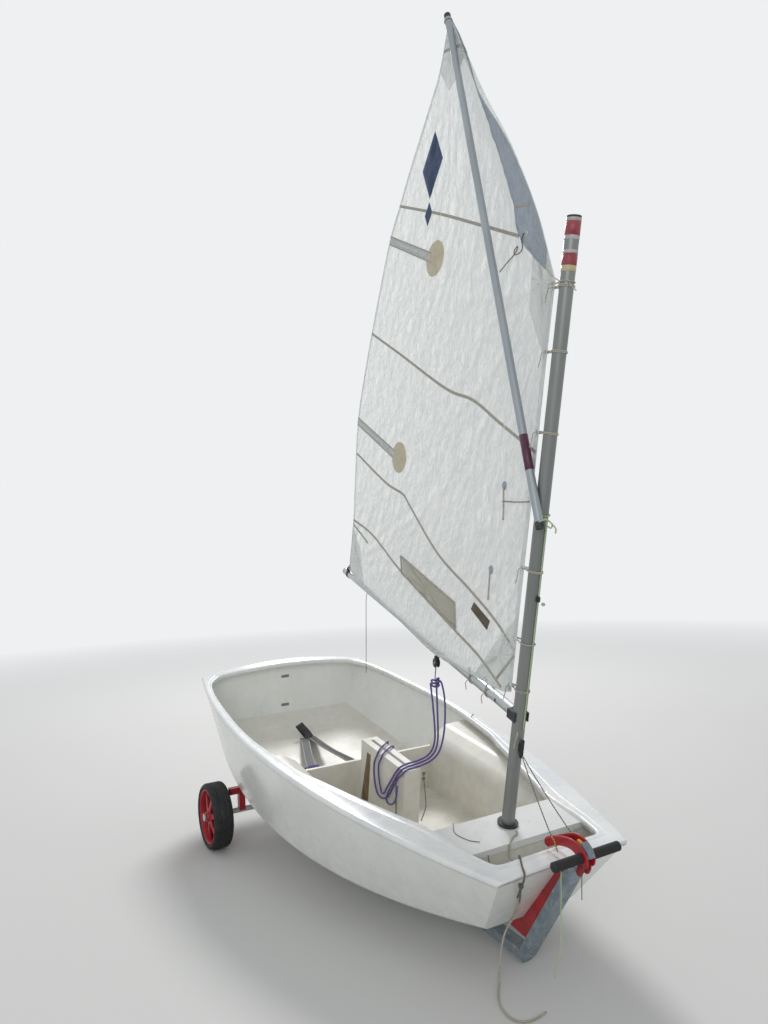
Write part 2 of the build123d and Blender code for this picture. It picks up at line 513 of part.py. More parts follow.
# Axle and cross beam
axle_end = WHEEL_Y - WHEEL_W / 2 - 4.0
hub_half = WHEEL_W / 2 + 2.0
stub_end = WHEEL_Y + hub_half + 7.0
axle = rod((WHEEL_X, -axle_end, WHEEL_R), (WHEEL_X, axle_end, WHEEL_R), AXLE_R)
axle += rod((WHEEL_X, -stub_end, WHEEL_R), (WHEEL_X, stub_end, WHEEL_R), STUB_R)
for side in (-1.0, 1.0):
    y = side * (WHEEL_Y + hub_half + 1.0)
    axle += rod((WHEEL_X, y, WHEEL_R), (WHEEL_X, y + side * 6.0, WHEEL_R), 17.0)
save("axle", axle, GROUND_PLACE)
beam = Box(BEAM, 2 * BEAM_HALF, BEAM) - Box(BEAM - 5.0, 3 * BEAM_HALF, BEAM - 5.0)
save("cross_beam", Pos(WHEEL_X, 0, LIFT - BEAM_BELOW) * beam, GROUND_PLACE)
parked = Location((0.0, 0.0, LIFT), (0.0, PITCH, 0.0))
hull_outside = parked * clear_form
axle_bar = rod((WHEEL_X, -900.0, WHEEL_R), (WHEEL_X, 900.0, WHEEL_R), AXLE_R)
beam_z = LIFT - BEAM_BELOW
for name, side in (("left", 1.0), ("right", -1.0)):
    bracket = Pos(WHEEL_X, side * (BEAM_HALF - BRACKET_IN), WHEEL_R) * Box(
        BEAM, BEAM, beam_z - BEAM / 2 - WHEEL_R, align=UP)
    save(f"beam_bracket_{name}", bracket - axle_bar, GROUND_PLACE)
    pad = Pos(WHEEL_X, side * PAD_Y, beam_z + BEAM / 2) * Box(*PAD, align=UP)
    pad -= hull_outside
    save(f"hull_pad_{name}", pad.solids().sort_by(Axis.Z)[0], GROUND_PLACE)

# Wheels
for name, side in (("left", 1.0), ("right", -1.0)):
    place = GROUND_PLACE * Pos(WHEEL_X, side * WHEEL_Y, WHEEL_R) * Rot(-90.0 * side, 0, 0)
    half = WHEEL_W / 2
    tyre_in = WHEEL_R - TYRE_T
    tyre_mid = WHEEL_R - 0.37 * TYRE_T
    bead = tyre_in + 0.29 * TYRE_T
    tyre_profile = [(tyre_in, -half + 9.5), (tyre_in, half - 9.5), (bead, half - 1.5),
                    (tyre_mid, half), (WHEEL_R, half - 14.0), (WHEEL_R, 14.0 - half), (tyre_mid, -half),
                    (bead, 1.5 - half)]
    with BuildSketch(Plane.XZ) as tyre_sketch:
        with BuildLine():
            Polyline(*tyre_profile, close=True)
        make_face()
        fillet(tyre_sketch.vertices().filter_by(lambda v: v.X > WHEEL_R - 1.0), 10.0)
    save(f"tyre_{name}", revolve(tyre_sketch.sketch, Axis.Z, 360.0), place)
    barrel_in = tyre_in - RIM_WALL
    rim_wheel = Cylinder(tyre_in - 0.3, 2 * half - 14.0) - Cylinder(barrel_in, 200.0)
    disc = Cylinder(tyre_in - 4.0, 9.0)
    for i in range(SPOKE_HOLES):
        disc -= Rot(0, 0, 360.0 / SPOKE_HOLES * i) * Pos((HUB_R + barrel_in) / 2, 0, 0) * Cylinder(
            WINDOW_SHARE * (barrel_in - HUB_R), 30.0)
    rim_wheel += Pos(0, 0, 18.0) * disc
    rim_wheel += Cylinder(HUB_R, 2 * hub_half)
    rim_wheel -= Cylinder(STUB_R + 0.08, 300.0)
    save(f"rim_{name}", rim_wheel, place)

# Spine under the hull and the post in front of the bow
spine_slope = (WHEEL_R - AXLE_R - SPINE_H / 2 - SPINE_FRONT[1]) / (WHEEL_X - SPINE_FRONT[0])


def spine_form(start, end, height, half):
    """Bar along the spine's sloping centre line, from x start to x end."""
    rows = [(x, SPINE_FRONT[1] + spine_slope * (x - SPINE_FRONT[0])) for x in (start, end)]
    (x0, z0), (x1, z1) = rows
    return side_profile([(x0, z0 - height / 2), (x1, z1 - height / 2), (x1, z1 + height / 2),
                         (x0, z0 + height / 2)], half)


spine = spine_form(SPINE_REAR, SPINE_FRONT[0], SPINE_H, SPINE_W / 2)
spine -= spine_form(SPINE_REAR - 100.0, SPINE_FRONT[0] + 100.0, SPINE_H - 2 * SPINE_WALL,
                    SPINE_W / 2 - SPINE_WALL)
spine -= axle_bar
post_run = Vector(POST_TOP[0] - POST_FOOT[0], 0.0, LIFT + POST_TOP[1] - POST_FOOT[1])
post_len = post_run.length
post_up = post_run.normalized()
post_front = Vector(post_up.Z, 0.0, -post_up.X)
post_frame = Plane(origin=Vector(POST_FOOT[0], 0.0, POST_FOOT[1]), x_dir=post_front, z_dir=post_up)
post = Pos(-POST_D / 2, 0, POST_W / 2) * Box(POST_D, POST_W, post_len - POST_W / 2, align=UP)
post += Pos(-POST_D / 2, 0, POST_W / 2) * Rot(0, 90, 0) * Cylinder(POST_W / 2, POST_D)
post -= Pos(-POST_D / 2 - POST_WALL, 0, POST_W) * Box(POST_D, POST_W - 2 * POST_WALL, post_len, align=UP)
post -= Pos(0, 0, POST_HOLE) * Rot(0, 90, 0) * Cylinder(6.0, 200.0)
post = (post_frame * post) - parked * body(-RIM_OUT - 1.0, FORM_RISE)
save("front_post", post, GROUND_PLACE)
save("spine", spine - post, GROUND_PLACE)

# Bow bracket: a strip down the transom, a leg under it and webs to the post
bow_up = Vector(SHEER[2][0] - CHINE[2][0], 0.0, SHEER[2][2] - CHINE[2][2]).normalized()
bow_out = Vector(bow_up.Z, 0.0, -bow_up.X)
bow_frame = Plane(origin=Vector(CHINE[2][0], 0.0, CHINE[2][2]), x_dir=bow_out, z_dir=bow_up)
strip = bow_frame * (Pos(6.0, 0, 112.0) * Box(12.0, 2 * BRACKET_HALF, 270.0))
leg = side_profile(LEG, BRACKET_HALF)
webs = side_profile(WEBS, BRACKET_HALF)
webs -= side_profile([(1900.0, -100.0), (1900.0, 500.0), (2600.0, 500.0), (2600.0, -100.0)],
                     BRACKET_HALF - BRACKET_WALL)
beyond_web = post_frame * (Pos(200.0 - POST_WALL, 0, -300.0) * Box(400.0, 400.0, 1200.0, align=UP))
bracket = (strip + leg + webs) - clear_form - parked.inverse() * beyond_web
save("bow_bracket", bracket.solids().sort_by(SortBy.VOLUME)[-1], HULL_PLACE)

# Hooks over the bow, with the grip bar through them
grip_hole = Pos(GRIP_AT[0], 0, GRIP_AT[1]) * Rot(90, 0, 0) * Cylinder(GRIP_TUBE_R + 0.1, 300.0)
post_box = parked.inverse() * (post_frame * (Pos(-POST_D / 2, 0, 0) * Box(POST_D, POST_W, post_len, align=UP)))
for name, side in (("left", 1.0), ("right", -1.0)):
    cheek = side_profile(CHEEK, CHEEK_T / 2, side * CHEEK_Y)
    tab = side_profile(TAB, CHEEK_T / 2, side * CHEEK_Y)
    save(f"hook_cheek_{name}", (cheek + tab) - grip_hole - post_box, HULL_PLACE)
save("hook_cover", side_profile(COVER, CHEEK_Y - CHEEK_T / 2), HULL_PLACE)
grip_place = Pos(GRIP_AT[0], 0, GRIP_AT[1]) * Rot(90, 0, 0)
grip_long = sum(GRIP_ENDS)
grip_middle = (GRIP_ENDS[0] - GRIP_ENDS[1]) / 2
save("grip_tube", Pos(0, grip_middle, 0) * grip_place * (
    Cylinder(GRIP_TUBE_R, grip_long) - Cylinder(GRIP_TUBE_R - 1.5, 400.0)), HULL_PLACE)
sleeve_start = CHEEK_Y + CHEEK_T / 2 + 1.0
for name, side, end in (("left", 1.0, GRIP_ENDS[0]), ("right", -1.0, GRIP_ENDS[1])):
    sleeve = Cylinder(GRIP_R, end - sleeve_start) - Cylinder(GRIP_TUBE_R, 200.0)
    save(f"grip_{name}", Pos(0, side * (end + sleeve_start) / 2, 0) * grip_place * sleeve, HULL_PLACE)

# Ropes
cord("mainsheet", SHEET_ROUTE, SHEET_D, HULL_PLACE)
painter_over = [(parked * Pos(*point)).position for point in PAINTER_ROUTE]
cord("painter", painter_over + [Vector(*point) for point in PAINTER_LIE], PAINTER_D, GROUND_PLACE)
cord("grip_string", STRING_ROUTE, STRING_D, GROUND_PLACE)
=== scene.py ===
"""Looks of the pram sailing dinghy and its launching trolley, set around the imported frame."""
import itertools
import logging
import math
from dataclasses import dataclass
from enum import Enum

import bmesh
import bpy
import numpy as np
from mathutils import Matrix, Vector


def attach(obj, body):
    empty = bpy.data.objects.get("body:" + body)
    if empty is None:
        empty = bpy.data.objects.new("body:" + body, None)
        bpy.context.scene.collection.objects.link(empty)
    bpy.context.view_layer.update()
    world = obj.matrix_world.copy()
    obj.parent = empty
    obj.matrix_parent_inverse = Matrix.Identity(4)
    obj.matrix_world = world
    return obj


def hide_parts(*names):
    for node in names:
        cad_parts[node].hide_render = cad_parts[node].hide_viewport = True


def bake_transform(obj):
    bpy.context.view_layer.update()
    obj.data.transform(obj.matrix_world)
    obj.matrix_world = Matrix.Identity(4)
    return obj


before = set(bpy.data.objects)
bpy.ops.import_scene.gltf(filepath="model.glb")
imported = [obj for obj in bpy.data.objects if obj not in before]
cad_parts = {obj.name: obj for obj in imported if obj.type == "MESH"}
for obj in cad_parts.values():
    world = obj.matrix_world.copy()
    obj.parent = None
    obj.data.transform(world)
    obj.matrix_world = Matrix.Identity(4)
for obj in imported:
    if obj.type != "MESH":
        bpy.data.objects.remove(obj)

LOG = logging.getLogger("dinghy")
Array = np.ndarray
Tree = bpy.types.NodeTree
Socket = bpy.types.NodeSocket
Piece = bpy.types.Object
Point = tuple[float, float, float]
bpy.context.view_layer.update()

PITCH = 9.336                      # bow-down angle of the parked hull, degrees
LIFT = 0.3636                      # boat frame's origin above the ground, metres
ORIGIN_X = 1.28184                 # part's origin ahead of the boat frame's
MAST_AT = (2.0175, 0.0, 0.3914)    # rig frame's origin in the boat frame, on the mast's axis
MAST_RAKE = math.degrees(math.atan(0.0759))
BOOM_SWING = 10.0                  # boom's angle off the middle line, degrees


def turned(axis: int, degrees: float) -> Array:
    """Rotation matrix about one axis, 0 to 2, by the right-hand rule.

    Args:
        axis: which axis.
        degrees: the angle.

    Returns:
        A 3 by 3 array.
    """
    return np.array(Matrix.Rotation(math.radians(degrees), 3, "XYZ"[axis]))


class Place(Enum):
    """Frames that pieces are worked out in."""

    PART = "part"
    GROUND = "ground"
    BOAT = "boat"
    RIG = "rig"

    def put(self, points: Array) -> Array:
        """Points of this frame in the part's frame."""
        turn, shift = FRAMES[self]
        return np.asarray(points, float) @ turn.T + shift


BOAT_SHIFT = np.array([-ORIGIN_X, 0.0, LIFT])
BOAT_TURN = turned(1, PITCH)
FRAMES = {
    Place.PART: (np.eye(3), np.zeros(3)),
    Place.GROUND: (np.eye(3), np.array([-ORIGIN_X, 0.0, 0.0])),
    Place.BOAT: (BOAT_TURN, BOAT_SHIFT),
    Place.RIG: (BOAT_TURN @ turned(1, MAST_RAKE) @ turned(2, 180.0 - BOOM_SWING),
                BOAT_TURN @ np.array(MAST_AT) + BOAT_SHIFT),
}


def linear(code: str) -> tuple[float, float, float, float]:
    """Linear colour of an sRGB hex code, by the sRGB curve.

    Args:
        code: six hex digits after a hash sign.

    Returns:
        Red, green, blue and alpha.
    """
    parts = [int(code[i:i + 2], 16) / 255.0 for i in (1, 3, 5)]
    parts = [v / 12.92 if v <= 0.04045 else ((v + 0.055) / 1.055) ** 2.4 for v in parts]
    return (*parts, 1.0)


def smooth(value: Array, low: float, high: float) -> Array:
    """Smooth step from 0 at low to 1 at high."""
    t = np.clip((np.asarray(value, float) - low) / (high - low), 0.0, 1.0)
    return t * t * (3.0 - 2.0 * t)


def unit(vectors: Array) -> Array:
    """Vectors scaled to length one along their last axis."""
    vectors = np.asarray(vectors, float)
    return vectors / np.maximum(np.linalg.norm(vectors, axis=-1, keepdims=True), 1e-12)


def lengths(path: Array) -> Array:
    """Distance along a path at each of its points."""
    return np.concatenate([[0.0], np.cumsum(np.linalg.norm(np.diff(path, axis=0), axis=1))])


def circle(count: int, shift: float = 0.0) -> Array:
    """Even angles once round, moved on by a share of a step."""
    return (np.arange(count) + shift) * 2.0 * math.pi / count


def power(value: Array, exponent: float) -> Array:
    """Power that keeps the sign."""
    return np.sign(value) * np.abs(value) ** exponent


def polygon(corners: Array, per_side: int = 8) -> Array:
    """Points along a polygon's sides."""
    corners = np.array(corners, float)
    t = np.linspace(0.0, 1.0, per_side, endpoint=False)[None, :, None]
    return (corners[:, None] * (1 - t) + np.roll(corners, -1, axis=0)[:, None] * t).reshape(-1, 2)


def rounded(points: Array, count: int) -> Array:
    """Smooth curve through points: Catmull-Rom pieces between them, then even steps along it.

    Args:
        points: the points that it passes through, one row each.
        count: how many points come back.

    Returns:
        An array of count rows.
    """
    points = np.asarray(points, float)
    ends = np.vstack([2 * points[0] - points[1], points, 2 * points[-1] - points[-2]])
    t = np.linspace(0.0, 1.0, 16, endpoint=False)[:, None]
    a, b, c, d = (ends[i:len(ends) - 3 + i, None, :] for i in range(4))
    pieces = 0.5 * (2 * b + (c - a) * t + (2 * a - 5 * b + 4 * c - d) * t ** 2
                    + (3 * b - a - 3 * c + d) * t ** 3)
    fine = np.vstack([pieces.reshape(-1, points.shape[1]), points[-1:]])
    run = lengths(fine)
    at = np.linspace(0.0, run[-1], count)
    return np.stack([np.interp(at, run, fine[:, k]) for k in range(points.shape[1])], 1)


@dataclass
class Patch:
    """A grid of points, rows by columns, whose columns or rows may close on themselves."""

    points: Array
    ring: bool = False
    loop: bool = False
    uv: Array | None = None

    def coordinates(self) -> Array:
        """UV of each grid line crossing in metres: round the columns first, then along the rows."""
        if self.uv is not None:
            return self.uv
        middle = self.points.mean(axis=1)
        if self.loop:
            middle = np.vstack([middle, middle[:1]])
        widest = self.points[len(self.points) // 2]
        if self.ring:
            widest = np.vstack([widest, widest[:1]])
        grid = np.meshgrid(lengths(middle), lengths(widest), indexing="ij")
        return np.stack([grid[1], grid[0]], -1)


def tube(path: Array, radius: float | Array, sides: int) -> Patch:
    """Round tube: circles square to the path, carried along it without twist, with a pole at each end.

    Args:
        path: the points that it follows.
        radius: one radius, or one for each point.
        sides: points round each circle.

    Returns:
        A patch whose columns are the circles' points.
    """
    path = np.asarray(path, float)
    along, side, up = carried(path)
    radius = np.broadcast_to(np.asarray(radius, float), (len(path),))
    angle = circle(sides)
    ring = np.cos(angle)[None, :, None] * side[:, None, :] + np.sin(angle)[None, :, None] * up[:, None, :]
    points = path[:, None, :] + radius[:, None, None] * ring
    first = path[0] - along[0] * radius[0] * 0.25
    last = path[-1] + along[-1] * radius[-1] * 0.25
    points = np.concatenate([np.tile(first, (1, sides, 1)), points, np.tile(last, (1, sides, 1))])
    return Patch(points, ring=True)


def carried(path: Array) -> tuple[Array, Array, Array]:
    """Tangent, side and up vectors along a path, the side carried from point to point.

    Args:
        path: the points, one row each.

    Returns:
        Three arrays of unit vectors.
    """
    along = unit(np.gradient(path, axis=0))
    start = np.cross(along[0], (0.0, 0.0, 1.0) if abs(along[0][2]) < 0.9 else (1.0, 0.0, 0.0))

    def carry(side: Array, tangent: Array) -> Array:
        """The side vector moved on to the next tangent."""
        return unit(side - (side @ tangent) * tangent)

    side = np.array(list(itertools.accumulate(along[1:], carry, initial=unit(start))))
    return along, side, np.cross(along, side)


def strap(path: Array, across: Array, width: float | Array, thick: float, corners: int = 16) -> Patch:
    """Flat band: a rounded oblong carried along a path.

    Args:
        path: middle line of the band.
        across: direction of its width, one vector or one for each point.
        width: full width, one value or one for each point.
        thick: full thickness.
        corners: points round the section.

    Returns:
        A closed patch whose columns go round the section.
    """
    path = np.asarray(path, float)
    along = unit(np.gradient(path, axis=0))
    across = np.broadcast_to(np.asarray(across, float), path.shape)
    across = unit(across - (across * along).sum(1, keepdims=True) * along)
    normal = np.cross(along, across)
    width = np.broadcast_to(np.asarray(width, float), (len(path),))
    angle = circle(corners, 0.5)
    flat = power(np.cos(angle), 0.35)
    deep = power(np.sin(angle), 0.6) * thick / 2.0
    points = (path[:, None, :] + (flat[None, :] * width[:, None] / 2.0)[..., None] * across[:, None, :]
              + deep[None, :, None] * normal[:, None, :])
    points = np.concatenate([np.tile(path[0], (1, corners, 1)), points, np.tile(path[-1], (1, corners, 1))])
    return Patch(points, ring=True)


def lathe(profile: list[tuple[float, float]], at: Array, axis: Array, sides: int = 32) -> Patch:
    """Turned form: a profile of radius and height spun round an axis.

    Args:
        profile: radius and height of each point, with radius 0 at a closed end.
        at: where height 0 lies.
        axis: direction of the height.
        sides: points round the axis.

    Returns:
        A patch whose columns go round the axis.
    """
    axis = unit(axis)
    side = unit(np.cross(axis, (0.0, 0.0, 1.0) if abs(axis[2]) < 0.9 else (0.0, 1.0, 0.0)))
    up = np.cross(axis, side)
    angle = circle(sides)
    ring = np.cos(angle)[:, None] * side + np.sin(angle)[:, None] * up
    radius, height = np.array(profile, float).T
    points = np.asarray(at, float) + radius[:, None, None] * ring + height[:, None, None] * axis
    return Patch(points, ring=True)


def cushion(size: Point, at: Array, turn: Array | None = None, edge: float = 0.22) -> Patch:
    """Block with rounded edges: a superellipsoid, whose cosines and sines are raised to a small power.

    Args:
        size: full size along its own axes.
        at: its centre.
        turn: rotation of its axes.
        edge: the power, from 0, sharp, to 1, a ball.

    Returns:
        A closed patch.
    """
    levels, sides = 13, 24
    across = np.linspace(-math.pi / 2, math.pi / 2, levels)[:, None]
    around = circle(sides, 0.5)[None, :]
    flat = power(np.cos(across), edge)
    points = np.stack([flat * power(np.cos(around), edge), flat * power(np.sin(around), edge),
                       power(np.sin(across), edge) * np.ones_like(around)], -1) * np.array(size) / 2.0
    points[0] = points[0].mean(axis=0)
    points[-1] = points[-1].mean(axis=0)
    if turn is not None:
        points = points @ np.asarray(turn, float).T
    return Patch(points + np.asarray(at, float), ring=True)


def thread(route: tuple, count: int, radius: float, sides: int = 7) -> Patch:
    """Thin line: a tube of count rings along the smooth curve through a route's points."""
    return tube(rounded(route, count), radius, sides)


def screw(at: Array, axis: Array, radius: float, proud: float) -> Patch:
    """Pan head of a screw or rivet: a low dome with a small dimple, standing on its seat."""
    return lathe([(0.0, -0.001), (radius, -0.001), (radius, 0.35 * proud), (0.82 * radius, 0.85 * proud),
                  (0.45 * radius, proud), (0.3 * radius, 0.7 * proud), (0.0, 0.7 * proud)], at, axis, 18)


def made(name: str, patches: list[Patch], place: Place, closed: bool = True) -> Piece:
    """One mesh object from patches: their grids become quads, smooth shaded, with a UV map in metres.

    Args:
        name: the piece's name.
        patches: the grids.
        place: the frame that their points are in.
        closed: merge doubled points at poles and turn the faces outwards.

    Returns:
        The new object, at the origin.
    """
    points, faces, uvs, base = [], [], [], 0
    for patch in patches:
        rows, columns = patch.points.shape[:2]
        steps = (np.arange(rows - (not patch.loop)), np.arange(columns - (not patch.ring)))
        r, c = (grid.ravel() for grid in np.meshgrid(*steps, indexing="ij"))
        corners = ((r, c), (r, c + 1), (r + 1, c + 1), (r + 1, c))
        faces.append(np.stack([base + (a % rows) * columns + b % columns for a, b in corners], 1))
        uv = patch.coordinates()
        uvs.append(np.stack([uv[a, b] for a, b in corners], 1).reshape(-1, 2))
        points.append(patch.points.reshape(-1, 3))
        base += rows * columns
    mesh = bpy.data.meshes.new(name)
    mesh.from_pydata(place.put(np.concatenate(points)).tolist(), [], np.concatenate(faces).tolist())
    layer = mesh.uv_layers.new(name="UVMap")
    layer.data.foreach_set("uv", np.concatenate(uvs).astype(np.float32).ravel())
    if closed:
        work = bmesh.new()
        work.from_mesh(mesh)
        bmesh.ops.remove_doubles(work, verts=work.verts, dist=1e-6)
        bmesh.ops.recalc_face_normals(work, faces=work.faces)
        work.to_mesh(mesh)
        work.free()
    mesh.polygons.foreach_set("use_smooth", np.ones(len(mesh.polygons), bool))
    mesh.update()
    piece = bpy.data.objects.new(name, mesh)
    bpy.context.scene.collection.objects.link(piece)
    return piece


def add(tree: Tree, kind: str, sockets: dict | None = None, **settings: object) -> bpy.types.Node:
    """Add a node, with its settings, and fill its inputs by values or links.

    Args:
        tree: the material's or world's node tree.
        kind: the node's type.
        sockets: input name or number, and its value or the output to link.
        settings: properties of the node.

    Returns:
        The new node.
    """
    node = tree.nodes.new(kind)
    for key, value in settings.items():
        setattr(node, key, value)
    for key, value in (sockets or {}).items():
        if isinstance(value, Socket):
            tree.links.new(value, node.inputs[key])
        else:
            node.inputs[key].default_value = value
    return node


def ramp(tree: Tree, value: Socket, stops: list[tuple[float, str]]) -> Socket:
    """Colour of a value between 0 and 1 by coloured stops.

    Args:
        tree: the node tree.
        value: the driving output.
        stops: place and hex colour of each stop.

    Returns:
        The colour output.
    """
    node = add(tree, "ShaderNodeValToRGB", {"Fac": value})
    while len(node.color_ramp.elements) < len(stops):
        node.color_ramp.elements.new(0.5)
    for element, (at, code) in zip(node.color_ramp.elements, stops):
        element.position, element.color = at, linear(code)
    return node.outputs["Color"]


def spread(tree: Tree, value: Socket, low: float, high: float,
           start: float = 0.3, end: float = 0.7) -> Socket:
    """A value moved from the range start to end into the range low to high."""
    return add(tree, "ShaderNodeMapRange", {"Value": value, "From Min": start, "From Max": end,
                                            "To Min": low, "To Max": high}).outputs["Result"]


def mixed(tree: Tree, amount: Socket, base: Socket,
          code: str) -> Socket:
    """A colour that goes over into that of a hex code by an amount from 0 to 1."""
    return add(tree, "ShaderNodeMix", {0: amount, 6: base, 7: linear(code)}, data_type="RGBA").outputs[2]


def reckoned(tree: Tree, operation: str, *values: object) -> Socket:
    """Result of a calculation with one or two values."""
    return add(tree, "ShaderNodeMath", dict(enumerate(values)), operation=operation).outputs[0]


def parts_of(tree: Tree, vector: Socket) -> object:
    """The three parts of a vector, by their letters."""
    return add(tree, "ShaderNodeSeparateXYZ", {0: vector}).outputs


def emptied(data: bpy.types.Material | bpy.types.World) -> Tree:
    """The node tree of a material or world, with nothing in it."""
    data.use_nodes = True
    data.node_tree.nodes.clear()
    return data.node_tree


@dataclass(frozen=True)
class Finish:
    """A finish in two near colours that drift into each other, with a fine grain in its relief."""

    name: str
    colour: str
    drift: str
    drift_mm: float = 180.0
    stretch: Point = (1.0, 1.0, 1.0)
    grain_mm: float = 2.0
    relief_mm: float = 0.02
    rough: tuple[float, float] = (0.35, 0.5)
    metallic: float = 0.0
    coat: float = 0.0
    sheen: float = 0.0
    soil: str = ""
    soil_mm: float = 60.0
    soil_share: float = 0.38
    by_uv: bool = False

    def material(self) -> bpy.types.Material:
        """The finish as a material, made once."""
        found = bpy.data.materials.get(self.name)
        if found is not None:
            return found
        material = bpy.data.materials.new(self.name)
        tree = emptied(material)
        add(tree, "ShaderNodeOutputMaterial", {"Surface": self.surface(tree)})
        return material

    def where(self, tree: Tree, scale: Point) -> Socket:
        """Coordinates of the surface in metres, stretched."""
        source = add(tree, "ShaderNodeTexCoord").outputs["UV" if self.by_uv else "Object"]
        return add(tree, "ShaderNodeMapping", {"Vector": source, "Scale": scale}).outputs["Vector"]

    def noise(self, tree: Tree, size_mm: float, detail: float = 3.0,
              stretch: Point = (1.0, 1.0, 1.0)) -> Socket:
        """Noise whose blobs are size_mm across."""
        sockets = {"Vector": self.where(tree, stretch), "Scale": 1000.0 / size_mm, "Detail": detail}
        return add(tree, "ShaderNodeTexNoise", sockets).outputs["Fac"]

    def colouring(self, tree: Tree) -> Socket:
        """Base colour: the two colours by soft patches, then soil in spots."""
        patches = self.noise(tree, self.drift_mm, 4.0, self.stretch)
        base = ramp(tree, patches, [(0.35, self.colour), (0.65, self.drift)])
        if not self.soil:
            return base
        spots = self.noise(tree, self.soil_mm, 9.0, self.stretch)
        return mixed(tree, spread(tree, spots, 0.0, 1.0, 1.0 - self.soil_share, 0.78), base, self.soil)

    def relief(self, tree: Tree) -> Socket:
        """Height of the grain, from 0 to 1."""
        return self.noise(tree, self.grain_mm, 4.0, self.stretch)

    def bump(self, tree: Tree) -> Socket:
        """Normals that follow the relief."""
        return add(tree, "ShaderNodeBump", {"Height": self.relief(tree), "Distance": self.relief_mm / 1000.0,
                                            "Strength": 1.0}).outputs["Normal"]

    def surface(self, tree: Tree) -> Socket:
        """The whole shader of the finish."""
        gloss = spread(tree, self.noise(tree, self.drift_mm * 0.4, 6.0, self.stretch), *self.rough)
        return add(tree, "ShaderNodeBsdfPrincipled", {
            "Base Color": self.colouring(tree), "Roughness": gloss, "Metallic": self.metallic,
            "Coat Weight": self.coat, "Coat Roughness": 0.12, "Sheen Weight": self.sheen,
            "Normal": self.bump(tree)}).outputs[0]


@dataclass(frozen=True)
class Gelcoat(Finish):
    """White gelcoat, sprayed in a mould: glossy and level, greyed low down and streaked by drips."""

    low: float = 0.0
    high: float = 0.0
    drip: float = 0.14
    drip_mm: float = 38.0
    dirt: float = 0.35

    def colouring(self, tree: Tree) -> Socket:
        """Base colour: white with soft patches, drips down the sides, and dirt between two heights."""
        base = ramp(tree, self.noise(tree, self.drift_mm, 4.0), [(0.35, self.colour), (0.65, self.drift)])
        drips = self.noise(tree, self.drip_mm, 5.0, (1.0, 1.0, 0.16))
        base = mixed(tree, spread(tree, drips, 0.0, self.drip, 0.52, 0.8), base, self.soil)
        if self.high <= self.low:
            return base
        height = parts_of(tree, add(tree, "ShaderNodeTexCoord").outputs["Object"])["Z"]
        lower = spread(tree, height, self.dirt, 0.0, self.low, self.high)
        patchy = spread(tree, self.noise(tree, self.soil_mm, 10.0), 0.25, 1.0, 0.35, 0.65)
        return mixed(tree, reckoned(tree, "MULTIPLY", lower, patchy), base, self.soil)


@dataclass(frozen=True)
class Braid(Finish):
    """Braided line: two families of strands that cross, read from the line's own UV map in metres."""

    drift_mm: float = 25.0
    relief_mm: float = 0.3
    rough: tuple[float, float] = (0.6, 0.75)
    by_uv: bool = True
    # Colour of the flecks on the strands; on the purple line they are painted highlights.
    fleck_and_highlight: str = "#ffffff"
    diameter: float = 0.004
    strands: int = 3
    turn_in: float = 9.0
    # A stretch of the line, between two runs in metres, and the colour that it is darkened to as painted
    # shade.
    dark: tuple[float, float] = (0.0, 0.0)
    painted_shade_colour: str = "#3a352f"

    def line(self, tree: Tree) -> object:
        """The line's own coordinates in metres: X round it and Y along it."""
        return parts_of(tree, add(tree, "ShaderNodeTexCoord").outputs["UV"])

    def strands_at(self, tree: Tree, hand: float) -> Socket:
        """Wave of the strands that wind to one hand: the sine of the angle round plus hand times the run."""
        line = self.line(tree)
        # A strand winds once round the line in turn_in diameters, and the strands share that run evenly.
        run_rate = hand * 2.0 * math.pi * self.strands / (self.diameter * self.turn_in)
        around = reckoned(tree, "MULTIPLY", line["X"], self.strands * 2.0 / self.diameter)
        run = reckoned(tree, "MULTIPLY", line["Y"], run_rate)
        return reckoned(tree, "SINE", reckoned(tree, "ADD", around, run))

    def relief(self, tree: Tree) -> Socket:
        """Height: the larger of the two waves."""
        return reckoned(tree, "MAXIMUM", self.strands_at(tree, 1.0), self.strands_at(tree, -1.0))

    def colouring(self, tree: Tree) -> Socket:
        """Base colour: flecks where both waves are high, on the line's own colour; on the purple line these
        pale flecks are painted highlights.
        """
        both = reckoned(tree, "MULTIPLY", self.strands_at(tree, 1.0), self.strands_at(tree, -1.0))
        base = ramp(tree, self.noise(tree, self.drift_mm), [(0.4, self.colour), (0.62, self.drift)])
        flecked = mixed(tree, spread(tree, both, 0.0, 1.0, 0.25, 0.6), base, self.fleck_and_highlight)
        start, end = self.dark
        if end <= start:
            return flecked
        # One stretch of the line is darkened with painted shade: between two runs, in metres, only its flecks
        # stay pale.
        run = self.line(tree)["Y"]
        within = reckoned(tree, "MULTIPLY", spread(tree, run, 0.0, 0.85, start, start + 0.03),
                          spread(tree, run, 1.0, 0.0, end - 0.03, end))
        plain = spread(tree, both, 1.0, 0.55, 0.25, 0.6)
        return mixed(tree, reckoned(tree, "MULTIPLY", within, plain), flecked, self.painted_shade_colour)


@dataclass(frozen=True)
class Woven(Finish):
    """Webbing or cloth with a weave: threads along and across, read from the UV map in metres."""

    by_uv: bool = True
    thread_mm: float = 2.2

    def relief(self, tree: Tree) -> Socket:
        """Height of the threads: a checker of two stretched waves."""
        cloth = parts_of(tree, self.where(tree, (1000.0 / self.thread_mm * math.pi,) * 3))
        waves = [reckoned(tree, "SINE", cloth[axis]) for axis in "XY"]
        return reckoned(tree, "MULTIPLY", *waves)


